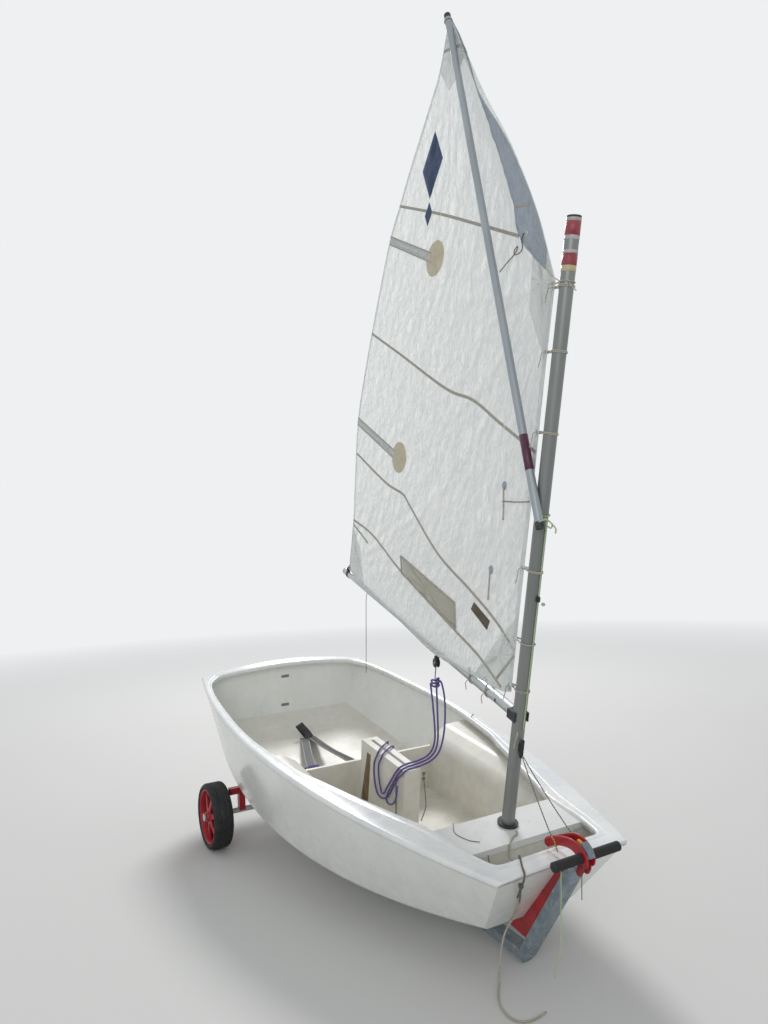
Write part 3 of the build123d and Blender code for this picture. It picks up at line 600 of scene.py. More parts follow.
@dataclass(frozen=True)
class Sailcloth(Finish):
    """Soft polyester sailcloth: thin, wrinkled all over and lit through; its soil colour is its palest."""

    sheen: float = 0.1
    by_uv: bool = True
    through: float = 0.5

    def wrinkled(self, tree: Tree, up: float, scale: float, detail: float, rough: float,
                 warp: float) -> Socket:
        """Warped noise that is drawn out up the cloth."""
        return add(tree, "ShaderNodeTexNoise", {
            "Vector": self.where(tree, (1.0, up, 1.0)), "Scale": scale, "Detail": detail,
            "Roughness": rough, "Distortion": warp}).outputs["Fac"]

    def relief(self, tree: Tree) -> Socket:
        """Height of the wrinkles: long streaks up the cloth, crossed by crumples of 30 mm."""
        streaks = self.wrinkled(tree, 0.42, 34.0, 5.0, 0.62, 1.4)
        sockets = {"Vector": self.where(tree, (1.0, 0.7, 1.0)), "Scale": 30.0}
        crumple = add(tree, "ShaderNodeTexVoronoi", sockets, feature="DISTANCE_TO_EDGE").outputs["Distance"]
        return reckoned(tree, "ADD", streaks, spread(tree, crumple, 0.0, 0.35, 0.0, 0.25))

    def surface(self, tree: Tree) -> Socket:
        """Cloth that scatters light back and lets the rest through."""
        bump = self.bump(tree)
        veins = self.wrinkled(tree, 0.5, 26.0, 8.0, 0.7, 2.2)
        colour = ramp(tree, veins, [(0.36, self.drift), (0.5, self.colour), (0.66, self.soil)])
        front = add(tree, "ShaderNodeBsdfPrincipled", {
            "Base Color": colour, "Roughness": 0.55, "Sheen Weight": self.sheen, "Normal": bump})
        behind = add(tree, "ShaderNodeBsdfTranslucent", {"Color": colour, "Normal": bump})
        sockets = {0: self.through, 1: front.outputs[0], 2: behind.outputs[0]}
        return add(tree, "ShaderNodeMixShader", sockets).outputs[0]


# Polyester gelcoat over a hand-laid hull: a level, glossy white that has chalked and greyed a little
HULL_GELCOAT = Gelcoat("gelcoat_outside", "#f1f3f0", "#e9ece8", 420.0, grain_mm=60.0, relief_mm=0.25,
                       rough=(0.16, 0.32), coat=0.35, soil="#b9bcae", soil_mm=45.0, low=0.12, high=0.5)
# The same gelcoat on the gunwale, rubbed whiter by hands and sheets
RIM_GELCOAT = Gelcoat("gelcoat_gunwale", "#f3f4f2", "#e6eaec", 160.0, grain_mm=50.0, relief_mm=0.2,
                      rough=(0.2, 0.36), coat=0.3, soil="#c9ccc6", soil_mm=30.0)
# Inner moulding: the same resin with a duller surface, warmer and scuffed by feet
INSIDE_GELCOAT = Gelcoat("gelcoat_inside", "#eeece4", "#e6e3d9", 320.0, grain_mm=35.0, relief_mm=0.35,
                         rough=(0.3, 0.5), coat=0.15, soil="#b4ae9c", soil_mm=40.0, low=0.34, high=0.66,
                         drip=0.06, dirt=0.24)
THWART_GELCOAT = Gelcoat("gelcoat_thwart", "#f0f0ed", "#e3e5e4", 200.0, grain_mm=30.0, relief_mm=0.2,
                         rough=(0.24, 0.4), coat=0.25, soil="#cdcabf", soil_mm=24.0)
# Anodised aluminium tube, extruded: fine lines along it and a dull grey-green bloom
MAST_METAL = Finish("anodised_mast", "#8b8e8b", "#7d817f", 120.0, (1.0, 1.0, 0.12), 1.2, 0.012, (0.36, 0.5),
                    metallic=0.55)
SPRIT_METAL = Finish("anodised_sprit", "#a4acb1", "#969ea4", 120.0, (1.0, 1.0, 0.2), 1.2, 0.012, (0.34, 0.48),
                     metallic=0.5)
BOOM_METAL = Finish("anodised_boom", "#c3c7c8", "#b2b7b9", 100.0, (0.12, 1.0, 1.0), 1.2, 0.012, (0.26, 0.4),
                    metallic=0.7)
# Glass-filled nylon, moulded: near black, faintly grained, greyed by sun
BLACK_PLASTIC = Finish("nylon_black", "#1d1e20", "#2b2c2e", 40.0, grain_mm=1.4, relief_mm=0.06,
                       rough=(0.42, 0.6))
# Stainless steel, bent and polished: bright with fine scratches
STAINLESS = Finish("stainless", "#c9cbcc", "#b4b7b9", 30.0, (1.0, 0.3, 1.0), 1.0, 0.01, (0.2, 0.34),
                   metallic=1.0)
# Hot-dip galvanised steel: dull blue-grey with spangle and white bloom
GALVANISED = Finish("galvanised_steel", "#98a5ad", "#7f8c95", 26.0, grain_mm=5.0, relief_mm=0.12,
                    rough=(0.42, 0.6), metallic=0.45, soil="#c3c9cb", soil_mm=18.0, soil_share=0.42)
ZINC = Finish("zinc_bright", "#c6cdd0", "#b3bbbf", 22.0, grain_mm=3.0, relief_mm=0.05, rough=(0.3, 0.45),
              metallic=0.5, soil="#9aa2a4", soil_mm=14.0, soil_share=0.36)
DULL_STEEL = Finish("stainless_dulled", "#85898d", "#777b80", 20.0, grain_mm=2.0, relief_mm=0.03,
                    rough=(0.32, 0.46), metallic=0.7)
# Red enamel on steel, brushed on thick: half gloss, chipped to grey primer
RED_ENAMEL = Finish("enamel_red", "#b01a26", "#98141f", 60.0, grain_mm=7.0, relief_mm=0.12,
                    rough=(0.26, 0.44), coat=0.3, soil="#5d2428", soil_mm=11.0, soil_share=0.36)
# Polypropylene rim, moulded in red: waxy, dusty in its corners
RED_PLASTIC = Finish("polypropylene_red", "#b0202c", "#8d1821", 50.0, grain_mm=3.0, relief_mm=0.05,
                     rough=(0.36, 0.52), soil="#6b3a38", soil_mm=16.0)
# Vulcanised rubber tyre: matt black, dusted grey on the tread
TYRE_RUBBER = Finish("rubber_tyre", "#17181a", "#232426", 50.0, grain_mm=2.5, relief_mm=0.12,
                     rough=(0.62, 0.82), soil="#4a4a45", soil_mm=14.0, soil_share=0.4)
PAD_RUBBER = Finish("rubber_pad", "#26282a", "#323436", 40.0, grain_mm=2.0, relief_mm=0.1, rough=(0.6, 0.78))
# Closed-cell foam sleeve: soft black with pores of a millimetre or so
GRIP_FOAM = Finish("foam_grip", "#202226", "#2d3034", 30.0, grain_mm=1.6, relief_mm=0.35, rough=(0.78, 0.92),
                   sheen=0.25)
# Grey acrylic plate with nothing on it
GREY_PLATE = Finish("acrylic_grey", "#7d8a96", "#6d7984", 20.0, grain_mm=10.0, relief_mm=0.05,
                    rough=(0.2, 0.34), coat=0.3)
# Polyester webbing, woven: black herringbone with a dry sheen. Threads of 1 mm are drawn at 2.2 mm to show.
WEBBING = Woven("polyester_webbing", "#232427", "#35363a", 40.0, relief_mm=0.5, rough=(0.7, 0.88), sheen=0.3,
                soil="#6a6862", soil_mm=9.0, soil_share=0.34)
GREY_WEBBING = Woven("webbing_worn", "#55575b", "#6a6b6e", 30.0, relief_mm=0.6, rough=(0.7, 0.88), sheen=0.3,
                     soil="#8b8983", soil_mm=7.0, soil_share=0.42)
STITCH = Woven("thread_pale", "#b9b6aa", "#a5a297", 9.0, relief_mm=0.3, rough=(0.6, 0.75), thread_mm=3.0)
# Varnished plywood at the case's side, gone brown where water stood
WOOD = Finish("stained_plywood", "#6e5a42", "#8b775a", 24.0, (1.0, 1.0, 0.25), 2.0, 0.2, (0.5, 0.7),
              soil="#46382a", soil_mm=14.0)
# Soft polyester sailcloth, calendered thin
SAIL = Sailcloth("polyester_sailcloth", "#eef0ee", "#e2e7e7", relief_mm=6.0, soil="#f8f9f7", through=0.52)
SAIL_DOUBLE = Sailcloth("sailcloth_doubled", "#f4f6f5", "#e9edee", relief_mm=4.0, soil="#fafbfa",
                        through=0.54)
# The same cloth, darker and blue-grey as painted shade, for the strip beside the head where it turns away
# from the light; the telltale discs wear the same finish
SAIL_SHADED = Sailcloth("sailcloth_shaded", "#bcc6d0", "#aeb9c4", relief_mm=4.0, soil="#bfc8d0", through=0.30)
# Seams: two layers and a row of zigzag thread, brown-grey against the light
SEAM = Woven("sewn_seam", "#a39f93", "#b5b1a5", 12.0, relief_mm=0.3, rough=(0.6, 0.75), thread_mm=5.0)
POCKET = Woven("batten_pocket", "#cdd1cf", "#bfc5c5", 30.0, relief_mm=0.2, rough=(0.5, 0.65))
# Sticky-back insignia cloth, beige and navy, and a smoked vinyl window
BEIGE_PATCH = Woven("insignia_beige", "#d5cdb3", "#c7bea2", 30.0, relief_mm=0.2, rough=(0.5, 0.65))
NAVY_PATCH = Woven("insignia_navy", "#1d3558", "#254069", 60.0, relief_mm=0.2, rough=(0.45, 0.6))
WINDOW = Finish("vinyl_window", "#a5a38d", "#96957f", 90.0, grain_mm=60.0, relief_mm=1.0, rough=(0.12, 0.25),
                coat=0.4, by_uv=True)
TAG = Woven("label_blank", "#4d4232", "#6b5c45", 14.0, relief_mm=0.3, rough=(0.55, 0.7))
RED_TAPE = Finish("tape_red", "#8e333c", "#a04a52", 30.0, grain_mm=8.0, relief_mm=0.05, rough=(0.3, 0.45))
WHITE_TAPE = Finish("tape_white", "#bdb8b6", "#ada8a6", 30.0, grain_mm=8.0, relief_mm=0.05, rough=(0.3, 0.45))
BEIGE_TAPE = Finish("tape_beige", "#cfc39a", "#bfb48c", 30.0, grain_mm=8.0, relief_mm=0.05, rough=(0.3, 0.45))
PURPLE_TAPE = Finish("tape_purple", "#5a2440", "#4c1e38", 14.0, grain_mm=8.0, relief_mm=0.05,
                     rough=(0.3, 0.45), soil="#a8889a", soil_mm=5.0, soil_share=0.36)
YELLOW_PLASTIC = Finish("polythene_yellow", "#d8a02a", "#c48d20", 12.0, grain_mm=4.0, relief_mm=0.05,
                        rough=(0.35, 0.5))
# Braided polyester lines. Strands of 1 mm are drawn at about 2 mm to show.
# The pale lavender flecks of the purple line are painted highlights on its strands.
PURPLE_BRAID = Braid("braid_purple", "#46308a", "#372470", relief_mm=0.8, rough=(0.55, 0.72), sheen=0.3,
                     fleck_and_highlight="#9385d0", diameter=0.008, strands=4)
# The painter's stretch from 0.22 m to 0.56 m along it, over the gunwale and down the outside of the bow, is
# darkened with painted shade.
PAINTER_BRAID = Braid("braid_painter", "#cfcabb", "#bdb8a6", relief_mm=0.5, fleck_and_highlight="#7d7767", diameter=0.006,
                      strands=4, dark=(0.22, 0.56))
DOTTED_BRAID = Braid("braid_dotted", "#35332f", "#413e38", fleck_and_highlight="#dcd8cc", diameter=0.0036, strands=2)
YELLOW_BRAID = Braid("braid_yellow", "#cdbb62", "#bba950", fleck_and_highlight="#4f4a32", diameter=0.0036, strands=2)
WHITE_BRAID = Braid("braid_white", "#d9d5c6", "#c6c1ae", relief_mm=0.5, fleck_and_highlight="#8d8775", diameter=0.006,
                    strands=4)
FLECK_BRAID = Braid("braid_flecked", "#cfccc2", "#b9b6aa", fleck_and_highlight="#2c2b2a")
DARK_BRAID = Braid("braid_dark", "#3e352f", "#544940", fleck_and_highlight="#8a8074")
GREEN_BRAID = Braid("braid_green", "#b9cf9f", "#cddcb8", fleck_and_highlight="#7ea05e", diameter=0.003)


def dress(piece: Piece, finish: Finish, body: str) -> Piece:
    """Give a piece its material and its body, and report it.

    Args:
        piece: the new piece.
        finish: what it is made of.
        body: the CAD body that it rides on.

    Returns:
        The same piece.
    """
    piece.data.materials.clear()
    piece.data.materials.append(finish.material())
    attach(piece, body)
    LOG.info("%s: %d faces", piece.name, len(getattr(piece.data, "polygons", ())))
    return piece


def fitted(name: str, patches: list[Patch], place: Place, finish: Finish) -> Piece:
    """A piece made and dressed: it rides on the rig from the rig's frame, on the boat from any other."""
    return dress(made(name, patches, place), finish, "rig" if place is Place.RIG else "boat")


def repaint(finishes: dict[Finish, str]) -> None:
    """Give CAD nodes their finishes in their objects' slots.

    Args:
        finishes: each finish and the names of its nodes, spaced.
    """
    for finish, names in finishes.items():
        for name in names.split():
            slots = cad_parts[name].material_slots
            for slot in slots:
                slot.link = "OBJECT"
                slot.material = finish.material()
            LOG.info("%s wears %s", name, finish.name)


def spline_points(route: list[Point], place: Place) -> Array:
    """Points along the smooth NURBS line that has the route's points as its control points.

    Args:
        route: the rope's points, in metres.
        place: the frame that they are in.

    Returns:
        Close points along the line, in the part's frame.
    """
    curve = bpy.data.curves.new("route", "CURVE")
    curve.dimensions = "3D"
    curve.resolution_u = 5
    line = curve.splines.new("NURBS")
    line.points.add(len(route) - 1)
    points = place.put(np.array(route))
    line.points.foreach_set("co", np.hstack([points, np.ones((len(points), 1))]).ravel())
    line.order_u = 3
    line.use_endpoint_u = True
    holder = bpy.data.objects.new("route", curve)
    bpy.context.scene.collection.objects.link(holder)
    bpy.context.view_layer.update()
    mesh = bpy.data.meshes.new_from_object(holder)
    found = np.empty(len(mesh.vertices) * 3)
    mesh.vertices.foreach_get("co", found)
    bpy.data.objects.remove(holder)
    bpy.data.curves.remove(curve)
    bpy.data.meshes.remove(mesh)
    return found.reshape(-1, 3)


# Routes of the free ropes, in metres: the mainsheet's and the painter's first part in the boat frame,
# the others on the ground
SHEET_ROUTE = [
    (1.3736, .0955, .6875), (1.3786, .0970, .6628), (1.3840, .0980, .6382), (1.3887, .1000, .6135),
    (1.3970, .1010, .5715), (1.4051, .1032, .5274), (1.4160, .1034, .4617), (1.4169, .0944, .4180),
    (1.4063, .0817, .3900), (1.3828, .0730, .3670), (1.3682, .0528, .3535), (1.3624, .0241, .3478),
    (1.3654, -.0076, .3480), (1.3727, -.0244, .3476), (1.3804, -.0452, .3476), (1.3754, -.0510, .3370),
    (1.3612, -.0502, .3200), (1.3521, -.0505, .3099), (1.3393, -.0500, .2906), (1.3253, -.0505, .2706),
    (1.3010, -.0505, .2354), (1.2850, -.0505, .2111), (1.2759, -.0505, .1946), (1.2638, -.0505, .1834),
    (1.2509, -.0505, .1813), (1.2432, -.0505, .1892), (1.2358, -.0505, .2054), (1.2234, -.0505, .2294),
    (1.2147, -.0505, .2620), (1.2146, -.0505, .2981), (1.2289, -.0503, .3191), (1.2403, -.0510, .3370),
    (1.2373, -.0452, .3476), (1.2245, -.0293, .3475), (1.2160, -.0202, .3478), (1.2050, -.0030, .3477),
    (1.1974, .0069, .3480), (1.1895, .0196, .3479), (1.1807, .0317, .3482), (1.1683, .0515, .3410),
    (1.1683, .0505, .3220), (1.1658, .0505, .3095), (1.1430, .0505, .3035), (1.1201, .0505, .3095),
    (1.1176, .0505, .3220), (1.1176, .0515, .3410), (1.1296, .0454, .3482), (1.1385, .0314, .3484),
    (1.1548, .0090, .3478), (1.1736, -.0177, .3478), (1.1873, -.0303, .3475), (1.2018, -.0452, .3476),
    (1.2038, -.0510, .3370), (1.1931, -.0503, .3191), (1.1772, -.0505, .2944), (1.1748, -.0505, .2546),
    (1.1833, -.0505, .2146), (1.1942, -.0505, .1896), (1.2036, -.0505, .1736), (1.2161, -.0505, .1618),
    (1.2370, -.0505, .1561), (1.2654, -.0505, .1617), (1.2951, -.0505, .1795), (1.3154, -.0505, .2019),
    (1.3296, -.0505, .2250), (1.3494, -.0505, .2590), (1.3651, -.0500, .2815), (1.3803, -.0505, .3044),
    (1.4009, -.0502, .3222), (1.4174, -.0510, .3370), (1.4224, -.0452, .3476), (1.4177, -.0330, .3476),
    (1.4119, -.0212, .3480), (1.4111, -.0058, .3477), (1.4091, .0096, .3478), (1.4123, .0251, .3505),
    (1.4143, .0407, .3535), (1.4302, .0620, .3680), (1.4514, .0768, .3910), (1.4646, .0924, .4200),
    (1.4352, .1295, .4514), (1.4311, .1395, .5177), (1.4205, .1439, .6002), (1.4107, .1413, .6495),
    (1.4038, .1375, .6756), (1.3985, .1340, .6935), (1.3927, .1273, .7013), (1.3881, .1190, .6949),
    (1.3891, .1166, .6791), (1.3924, .1161, .6567), (1.3963, .1155, .6347), (1.3997, .1161, .6126),
    (1.4058, .1151, .5751), (1.4129, .1151, .5282), (1.4232, .1138, .4605), (1.4317, .0997, .4180),
    (1.4235, .0855, .3900), (1.4041, .0717, .3670), (1.3894, .0493, .3535), (1.3874, .0335, .3505),
    (1.3843, .0178, .3478), (1.3872, .0031, .3477), (1.3890, -.0119, .3480), (1.3942, -.0243, .3476),
    (1.4012, -.0452, .3476), (1.3962, -.0510, .3370), (1.3879, -.0522, .3266), (1.3795, -.0545, .3165),
    (1.3691, -.0573, .2965), (1.3627, -.0600, .2845), (1.3504, -.0599, .2642), (1.3416, -.0607, .2507),
    (1.3330, -.0602, .2361), (1.3238, -.0607, .2219), (1.3120, -.0607, .1994), (1.3079, -.0609, .1795),
    (1.3220, -.0607, .1682), (1.3519, -.0609, .1753), (1.3763, -.0607, .1973), (1.3862, -.0609, .2209),
    (1.3911, -.0607, .2472), (1.3922, -.0607, .2753),
]
PAINTER_OVER = [
    (2.0700, -.0080, .4014), (2.0840, -.0080, .4014), (2.0940, -.0380, .4014), (2.1080, -.0620, .4014),
    (2.1180, -.0725, .4016), (2.1218, -.0765, .3998), (2.1224, -.0773, .3940), (2.1220, -.0785, .3780),
    (2.1220, -.0800, .3610), (2.1600, -.1020, .3730), (2.1900, -.1120, .3890), (2.2120, -.1180, .4010),
    (2.2210, -.1220, .4160), (2.2225, -.1250, .4270), (2.2400, -.1350, .4265), (2.2740, -.1590, .4280),
    (2.2920, -.1690, .4285), (2.3110, -.1800, .4305), (2.3180, -.1870, .4210), (2.3170, -.1885, .4080),
    (2.3060, -.1860, .3910), (2.2700, -.1550, .3390), (2.2400, -.1290, .2880), (2.2000, -.0980, .2250),
    (2.1700, -.0840, .1800), (2.1550, -.0830, .1560),
]
PAINTER_LIE = [
    (2.1490, -.0990, .1510), (2.1500, -.1160, .1270), (2.1500, -.1280, .0890), (2.1490, -.1390, .0290),
    (2.1530, -.1470, .0080), (2.1715, -.1597, .0032), (2.2024, -.1878, .0032), (2.2342, -.2119, .0032),
    (2.2693, -.2288, .0032), (2.3043, -.2352, .0032), (2.3347, -.2306, .0032), (2.3517, -.2133, .0032),
    (2.3594, -.1898, .0032), (2.3587, -.1584, .0032), (2.3529, -.1299, .0032),
]
STRING_ROUTE = [
    (2.4137, -.0945, .4236), (2.4103, -.0956, .3946), (2.4099, -.0961, .3574), (2.4067, -.0997, .2972),
    (2.4056, -.1009, .2374), (2.4029, -.1038, .1974), (2.3991, -.1080, .1715), (2.3943, -.1132, .1525),
    (2.3888, -.1193, .1377), (2.3879, -.1203, .1249), (2.3890, -.1190, .1137),
]


@dataclass
class Ropes:
    """The free ropes: the purple mainsheet, the painter over the bow and the string at the grip."""

    sheet_d: float = 0.008
    painter_d: float = 0.006
    string_d: float = 0.003

    def free(self, name: str, route: Array, place: Place, diameter: float, finish: Finish, slot: str,
             lay: str) -> Piece:
        """A free rope as a round braided tube along its smooth line, its far end bare.

        Args:
            name: the CAD node's name, which the piece replaces.
            route: its points.
            place: the frame of the points.
            diameter: of the rope.
            finish: its braid.
            slot: not used.
            lay: not used.

        Returns:
            The rope.
        """
        path = spline_points(route, place)
        rope = made(f"{name}_braid", [tube(path, diameter / 2.0, 10)], Place.PART)
        rope.data.materials.append(finish.material())
        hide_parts(name)
        LOG.info("%s: %d faces", rope.name, len(rope.data.polygons))
        return rope

    def build(self) -> None:
        """Make the three ropes, and hang the painter and the string on the boat."""
        sheet = self.free("mainsheet", SHEET_ROUTE, Place.BOAT, self.sheet_d, PURPLE_BRAID, "sheet_rope",
                          "hanging")
        tuple(Place.BOAT.put([1.42, 0.10, 0.44]))
        tuple(Place.BOAT.put([1.385, 0.11, 0.672]))
        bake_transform(sheet)
        route = np.vstack([Place.BOAT.put(PAINTER_OVER), Place.GROUND.put(PAINTER_LIE)])
        painter = self.free("painter", route, Place.PART, self.painter_d, PAINTER_BRAID, "painter_rope",
                            "loose")
        string = self.free("grip_string", STRING_ROUTE, Place.GROUND, self.string_d, GREEN_BRAID,
                           "string_line", "hanging")
        for rope in (painter, string):
            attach(rope, "boat")


@dataclass
class Sail:
    """The spritsail: a height field over its own plane, cambered to port, and what is sewn to it."""

    luff: tuple = ((.032, .474), (.034, .80), (.032, 1.20), (.034, 1.55), (.032, 1.814))
    head: tuple = ((.032, 1.814), (.094, 1.915), (.161, 2.019), (.245, 2.13), (.33, 2.231), (.446, 2.362),
                   (.665, 2.579), (.818, 2.749), (1.04, 2.992))
    leech: tuple = ((1.892, .438), (1.893, .497), (1.88, .737), (1.904, .959), (1.925, 1.296), (1.85, 1.60),
                    (1.728, 1.932), (1.607, 2.213), (1.498, 2.357), (1.396, 2.492), (1.206, 2.714),
                    (1.122, 2.826), (1.072, 2.992))
    foot: tuple = ((.032, .474), (.111, .448), (.316, .422), (.488, .396), (.685, .379), (.915, .386),
                   (1.488, .413), (1.697, .418), (1.892, .438))
    ridge: tuple = ((.93, 2.88), (.765, 2.70), (.63, 2.521), (.49, 2.324), (.356, 2.124), (.286, 1.979),
                    (.12, 1.86))
    seams: tuple = (
        ((1.50, 2.352), (.991, 2.21), (.588, 2.086), (.289, 1.993)),
        ((1.785, 1.762), (1.34, 1.639), (.784, 1.481), (.519, 1.437), (.292, 1.362), (.036, 1.28)),
        ((1.905, 1.11), (1.411, 1.01), (1.16, .985), (1.06, .945), (.718, .80), (.396, .728), (.188, .676),
         (.036, .615)),
        ((1.878, .735), (1.532, .712), (1.116, .628), (.537, .545), (.285, .511), (.10, .463)),
        ((1.878, .71), (1.602, .657)),
        ((1.09, 2.885), (1.031, 2.873), (.908, 2.836), (.855, 2.785)))
    fold_seam: tuple = ((.323, 2.094), (.24, 2.085))
    tack_seam: tuple = ((.136, .480), (.036, .60))
    corners: tuple = (
        ((.034, .478), (.30, .428), (.17, .60), (.036, .74)),
        ((1.888, .442), (1.885, .70), (1.72, .60), (1.62, .42)),
        ((.04, 1.80), (.038, 1.56), (.17, 1.74), (.20, 2.06), (.10, 1.92)),
        ((1.045, 2.985), (.86, 2.79), (1.0, 2.70), (1.12, 2.815), (1.068, 2.985)))
    pockets: tuple = (((1.60, 2.208), (1.038, 2.037)), ((1.920, 1.290), (1.301, 1.156)))
    ovals: tuple = ((1.004, 2.030), (1.244, 1.150))
    discs: tuple = ((.216, 1.150), (.251, .842))
    window: tuple = ((1.117, .696), (.511, .644), (.482, .55), (1.088, .621))
    label: tuple = ((.355, .693), (.222, .661), (.237, .623), (.374, .66))
    lozenges: tuple = (((1.12, 2.58), (1.01, 2.44), (1.12, 2.30), (1.23, 2.44)),
                       ((1.12, 2.285), (1.08, 2.235), (1.12, 2.185), (1.16, 2.235)))
    eyelets: tuple = ((.048, 1.795), (.048, 1.598), (.048, 1.345), (.048, .898), (.048, .655), (.048, .492),
                      (.209, .450), (.338, .436), (1.872, .458), (1.05, 2.96), (.25, 1.995))
    columns: int = 170
    rows: int = 240
    side: float = 0.0218
    depth: float = 0.058
    ridge_high: float = 0.026
    ridge_wide: float = 0.055
    sprit_side: float = 0.0226
    tape_step: float = 0.02
    ripple_count: int = 46
    seed: int = 7

    def __post_init__(self) -> None:
        """Draw the creases that run from the corners, and the ripples between them."""
        draw = np.random.default_rng(self.seed)
        # Of each corner: its place, the headings between which its creases run, in degrees, and their number.
        corners = (((.05, 1.79), -85.0, 5.0, 20), ((1.04, 2.93), -118.0, -72.0, 10),
                   ((1.86, .47), 98.0, 172.0, 14), ((.06, .50), 12.0, 84.0, 10))
        rows = []
        for at, low, high, count in corners:
            angle = np.radians(draw.uniform(low, high, count))
            start = draw.uniform(.03, .25, count)
            run = start + draw.uniform(.25, 1.15, count)
            heading = np.stack([np.cos(angle), np.sin(angle)], 1)
            ends = [np.array(at) + heading * start[:, None], np.array(at) + heading * run[:, None]]
            width = draw.uniform(.010, .026, (count, 1))
            height = draw.uniform(-.0032, .0032, (count, 1))
            rows.append(np.hstack([*ends, width, height]))
        self.creases = np.vstack(rows)
        count = self.ripple_count
        turn = draw.normal(0.35, 0.55, count)
        wave = 2.0 * math.pi / draw.uniform(.045, .22, count)
        self.ripples = np.stack([wave * np.cos(turn), wave * np.sin(turn), draw.uniform(0, 6.3, count),
                                 draw.uniform(.0001, .0005, count)])

    def span(self, z: Array) -> tuple[Array, Array]:
        """Fore and aft edge of the cloth at height z."""
        fore = np.array(self.luff + self.head[1:])
        aft = np.array(self.leech)
        return np.interp(z, fore[:, 1], fore[:, 0]), np.interp(z, aft[:, 1], aft[:, 0])

    def near(self, x: Array, z: Array, line: Array) -> Array:
        """Distance in the sail's plane to a line of points."""
        p = np.stack([x, z], -1)[..., None, :]
        a, b = line[:-1], line[1:]
        t = np.clip(((p - a) * (b - a)).sum(-1) / ((b - a) ** 2).sum(-1), 0.0, 1.0)
        return np.linalg.norm(p - a - t[..., None] * (b - a), axis=-1).min(-1)

    def level(self, x: Array, z: Array) -> Array:
        """Height of the cloth to starboard at x aft and z up.

        It is the flat panel's side less a camber, which is a sine across the cloth, plus a rounded ridge
        along the head, plus creases (a bell across a line, faded at its ends) and ripples (sums of waves),
        all faded out at the edges, and it is held behind the sprit.
        """
        x, z = np.asarray(x, float), np.asarray(z, float)
        fore, aft = self.span(z)
        share = np.clip((x - fore) / np.maximum(aft - fore, .02), 0.0, 1.0)
        above = z - np.interp(x, *np.array(self.foot).T)
        camber = self.depth * np.clip((aft - fore) / 1.5, 0.0, 1.0)
        camber = camber * smooth(above, .05, .60) * np.sin(math.pi * share ** 0.8)
        ridge = self.ridge_high * np.exp(-(self.near(x, z, np.array(self.ridge)) / self.ridge_wide) ** 2)
        ridge = ridge * smooth(2.95 - z, 0.0, .45) * smooth(z, 1.84, 2.05)
        ax, az, bx, bz, width, height = self.creases.T
        px, pz = x[..., None], z[..., None]
        run = (bx - ax) ** 2 + (bz - az) ** 2
        t = ((px - ax) * (bx - ax) + (pz - az) * (bz - az)) / run
        off = ((px - ax) * (bz - az) - (pz - az) * (bx - ax)) / np.sqrt(run)
        bells = height * np.exp(-(off / width) ** 2)
        folds = (bells * smooth(t, -.05, .2) * smooth(1.05 - t, 0.0, .5)).sum(-1)
        kx, kz, phase, size = self.ripples
        waves = (size * np.sin(kx * px + kz * pz + phase)).sum(-1)
        free = smooth(np.minimum(share, 1.0 - share) * (aft - fore), .0, .06) * smooth(above, .045, .13)
        level = self.side - camber + ridge + (folds + waves) * free
        sprit = np.array([Rig.heel, Rig.peak])[:, ::2]
        room = self.sprit_side + 1.6 * np.maximum(self.near(x, z, sprit) - .022, 0.0)
        return np.minimum(level, room)

    def lifted(self, flat: Array, high: Array) -> Array:
        """Points of the sail's plane set on the cloth, or as high above it as told."""
        return np.stack([flat[..., 0], self.level(flat[..., 0], flat[..., 1]) + high, flat[..., 1]], -1)

    def on_cloth(self, flat: Array) -> Array:
        """Points drawn on the flat panel, moved along the camera's line of sight on to the cloth.

        Args:
            flat: aft and up of each point in the sail's plane.

        Returns:
            Aft and up of where the camera sees the same points on the swelling cloth.
        """
        flat = np.asarray(flat, float)
        turn, shift = FRAMES[Place.RIG]
        eye = (np.array(Studio.seat) - shift) @ turn
        start = np.stack([flat[..., 0], np.full(flat.shape[:-1], self.side), flat[..., 1]], -1)
        found = start
        for _ in range(6):
            share = (self.level(found[..., 0], found[..., 2]) - self.side) / (eye[1] - self.side)
            found = start + share[..., None] * (eye - start)
        return np.stack([found[..., 0], found[..., 2]], -1)

    def cloth(self) -> Piece:
        """The sheet: a Coons patch between its four edges, lifted to its level."""
        s = np.linspace(0.0, 1.0, self.columns)[None, :, None]
        t = np.linspace(0.0, 1.0, self.rows)[:, None, None]
        fore, aft = rounded(self.luff, self.rows)[:, None], rounded(self.leech, self.rows)[:, None]
        low, high = rounded(self.foot, self.columns)[None], rounded(self.head, self.columns)[None]
        head_end = np.array(self.leech[-1])
        high = high + s * 0.0 + (head_end - high[0, -1]) * s ** 12
        corners = ((1 - s) * (1 - t) * low[0, 0] + s * (1 - t) * low[0, -1] + (1 - s) * t * high[0, 0]
                   + s * t * high[0, -1])
        flat = (1 - s) * fore + s * aft + (1 - t) * low + t * high - corners
        piece = made("sail_cloth", [Patch(self.lifted(flat, 0.0), uv=flat)], Place.RIG, closed=False)
        self.area = float(np.abs(np.cross(np.diff(flat, axis=0)[:, :-1], np.diff(flat, axis=1)[:-1])).sum())
        return dress(piece, SAIL, "rig")

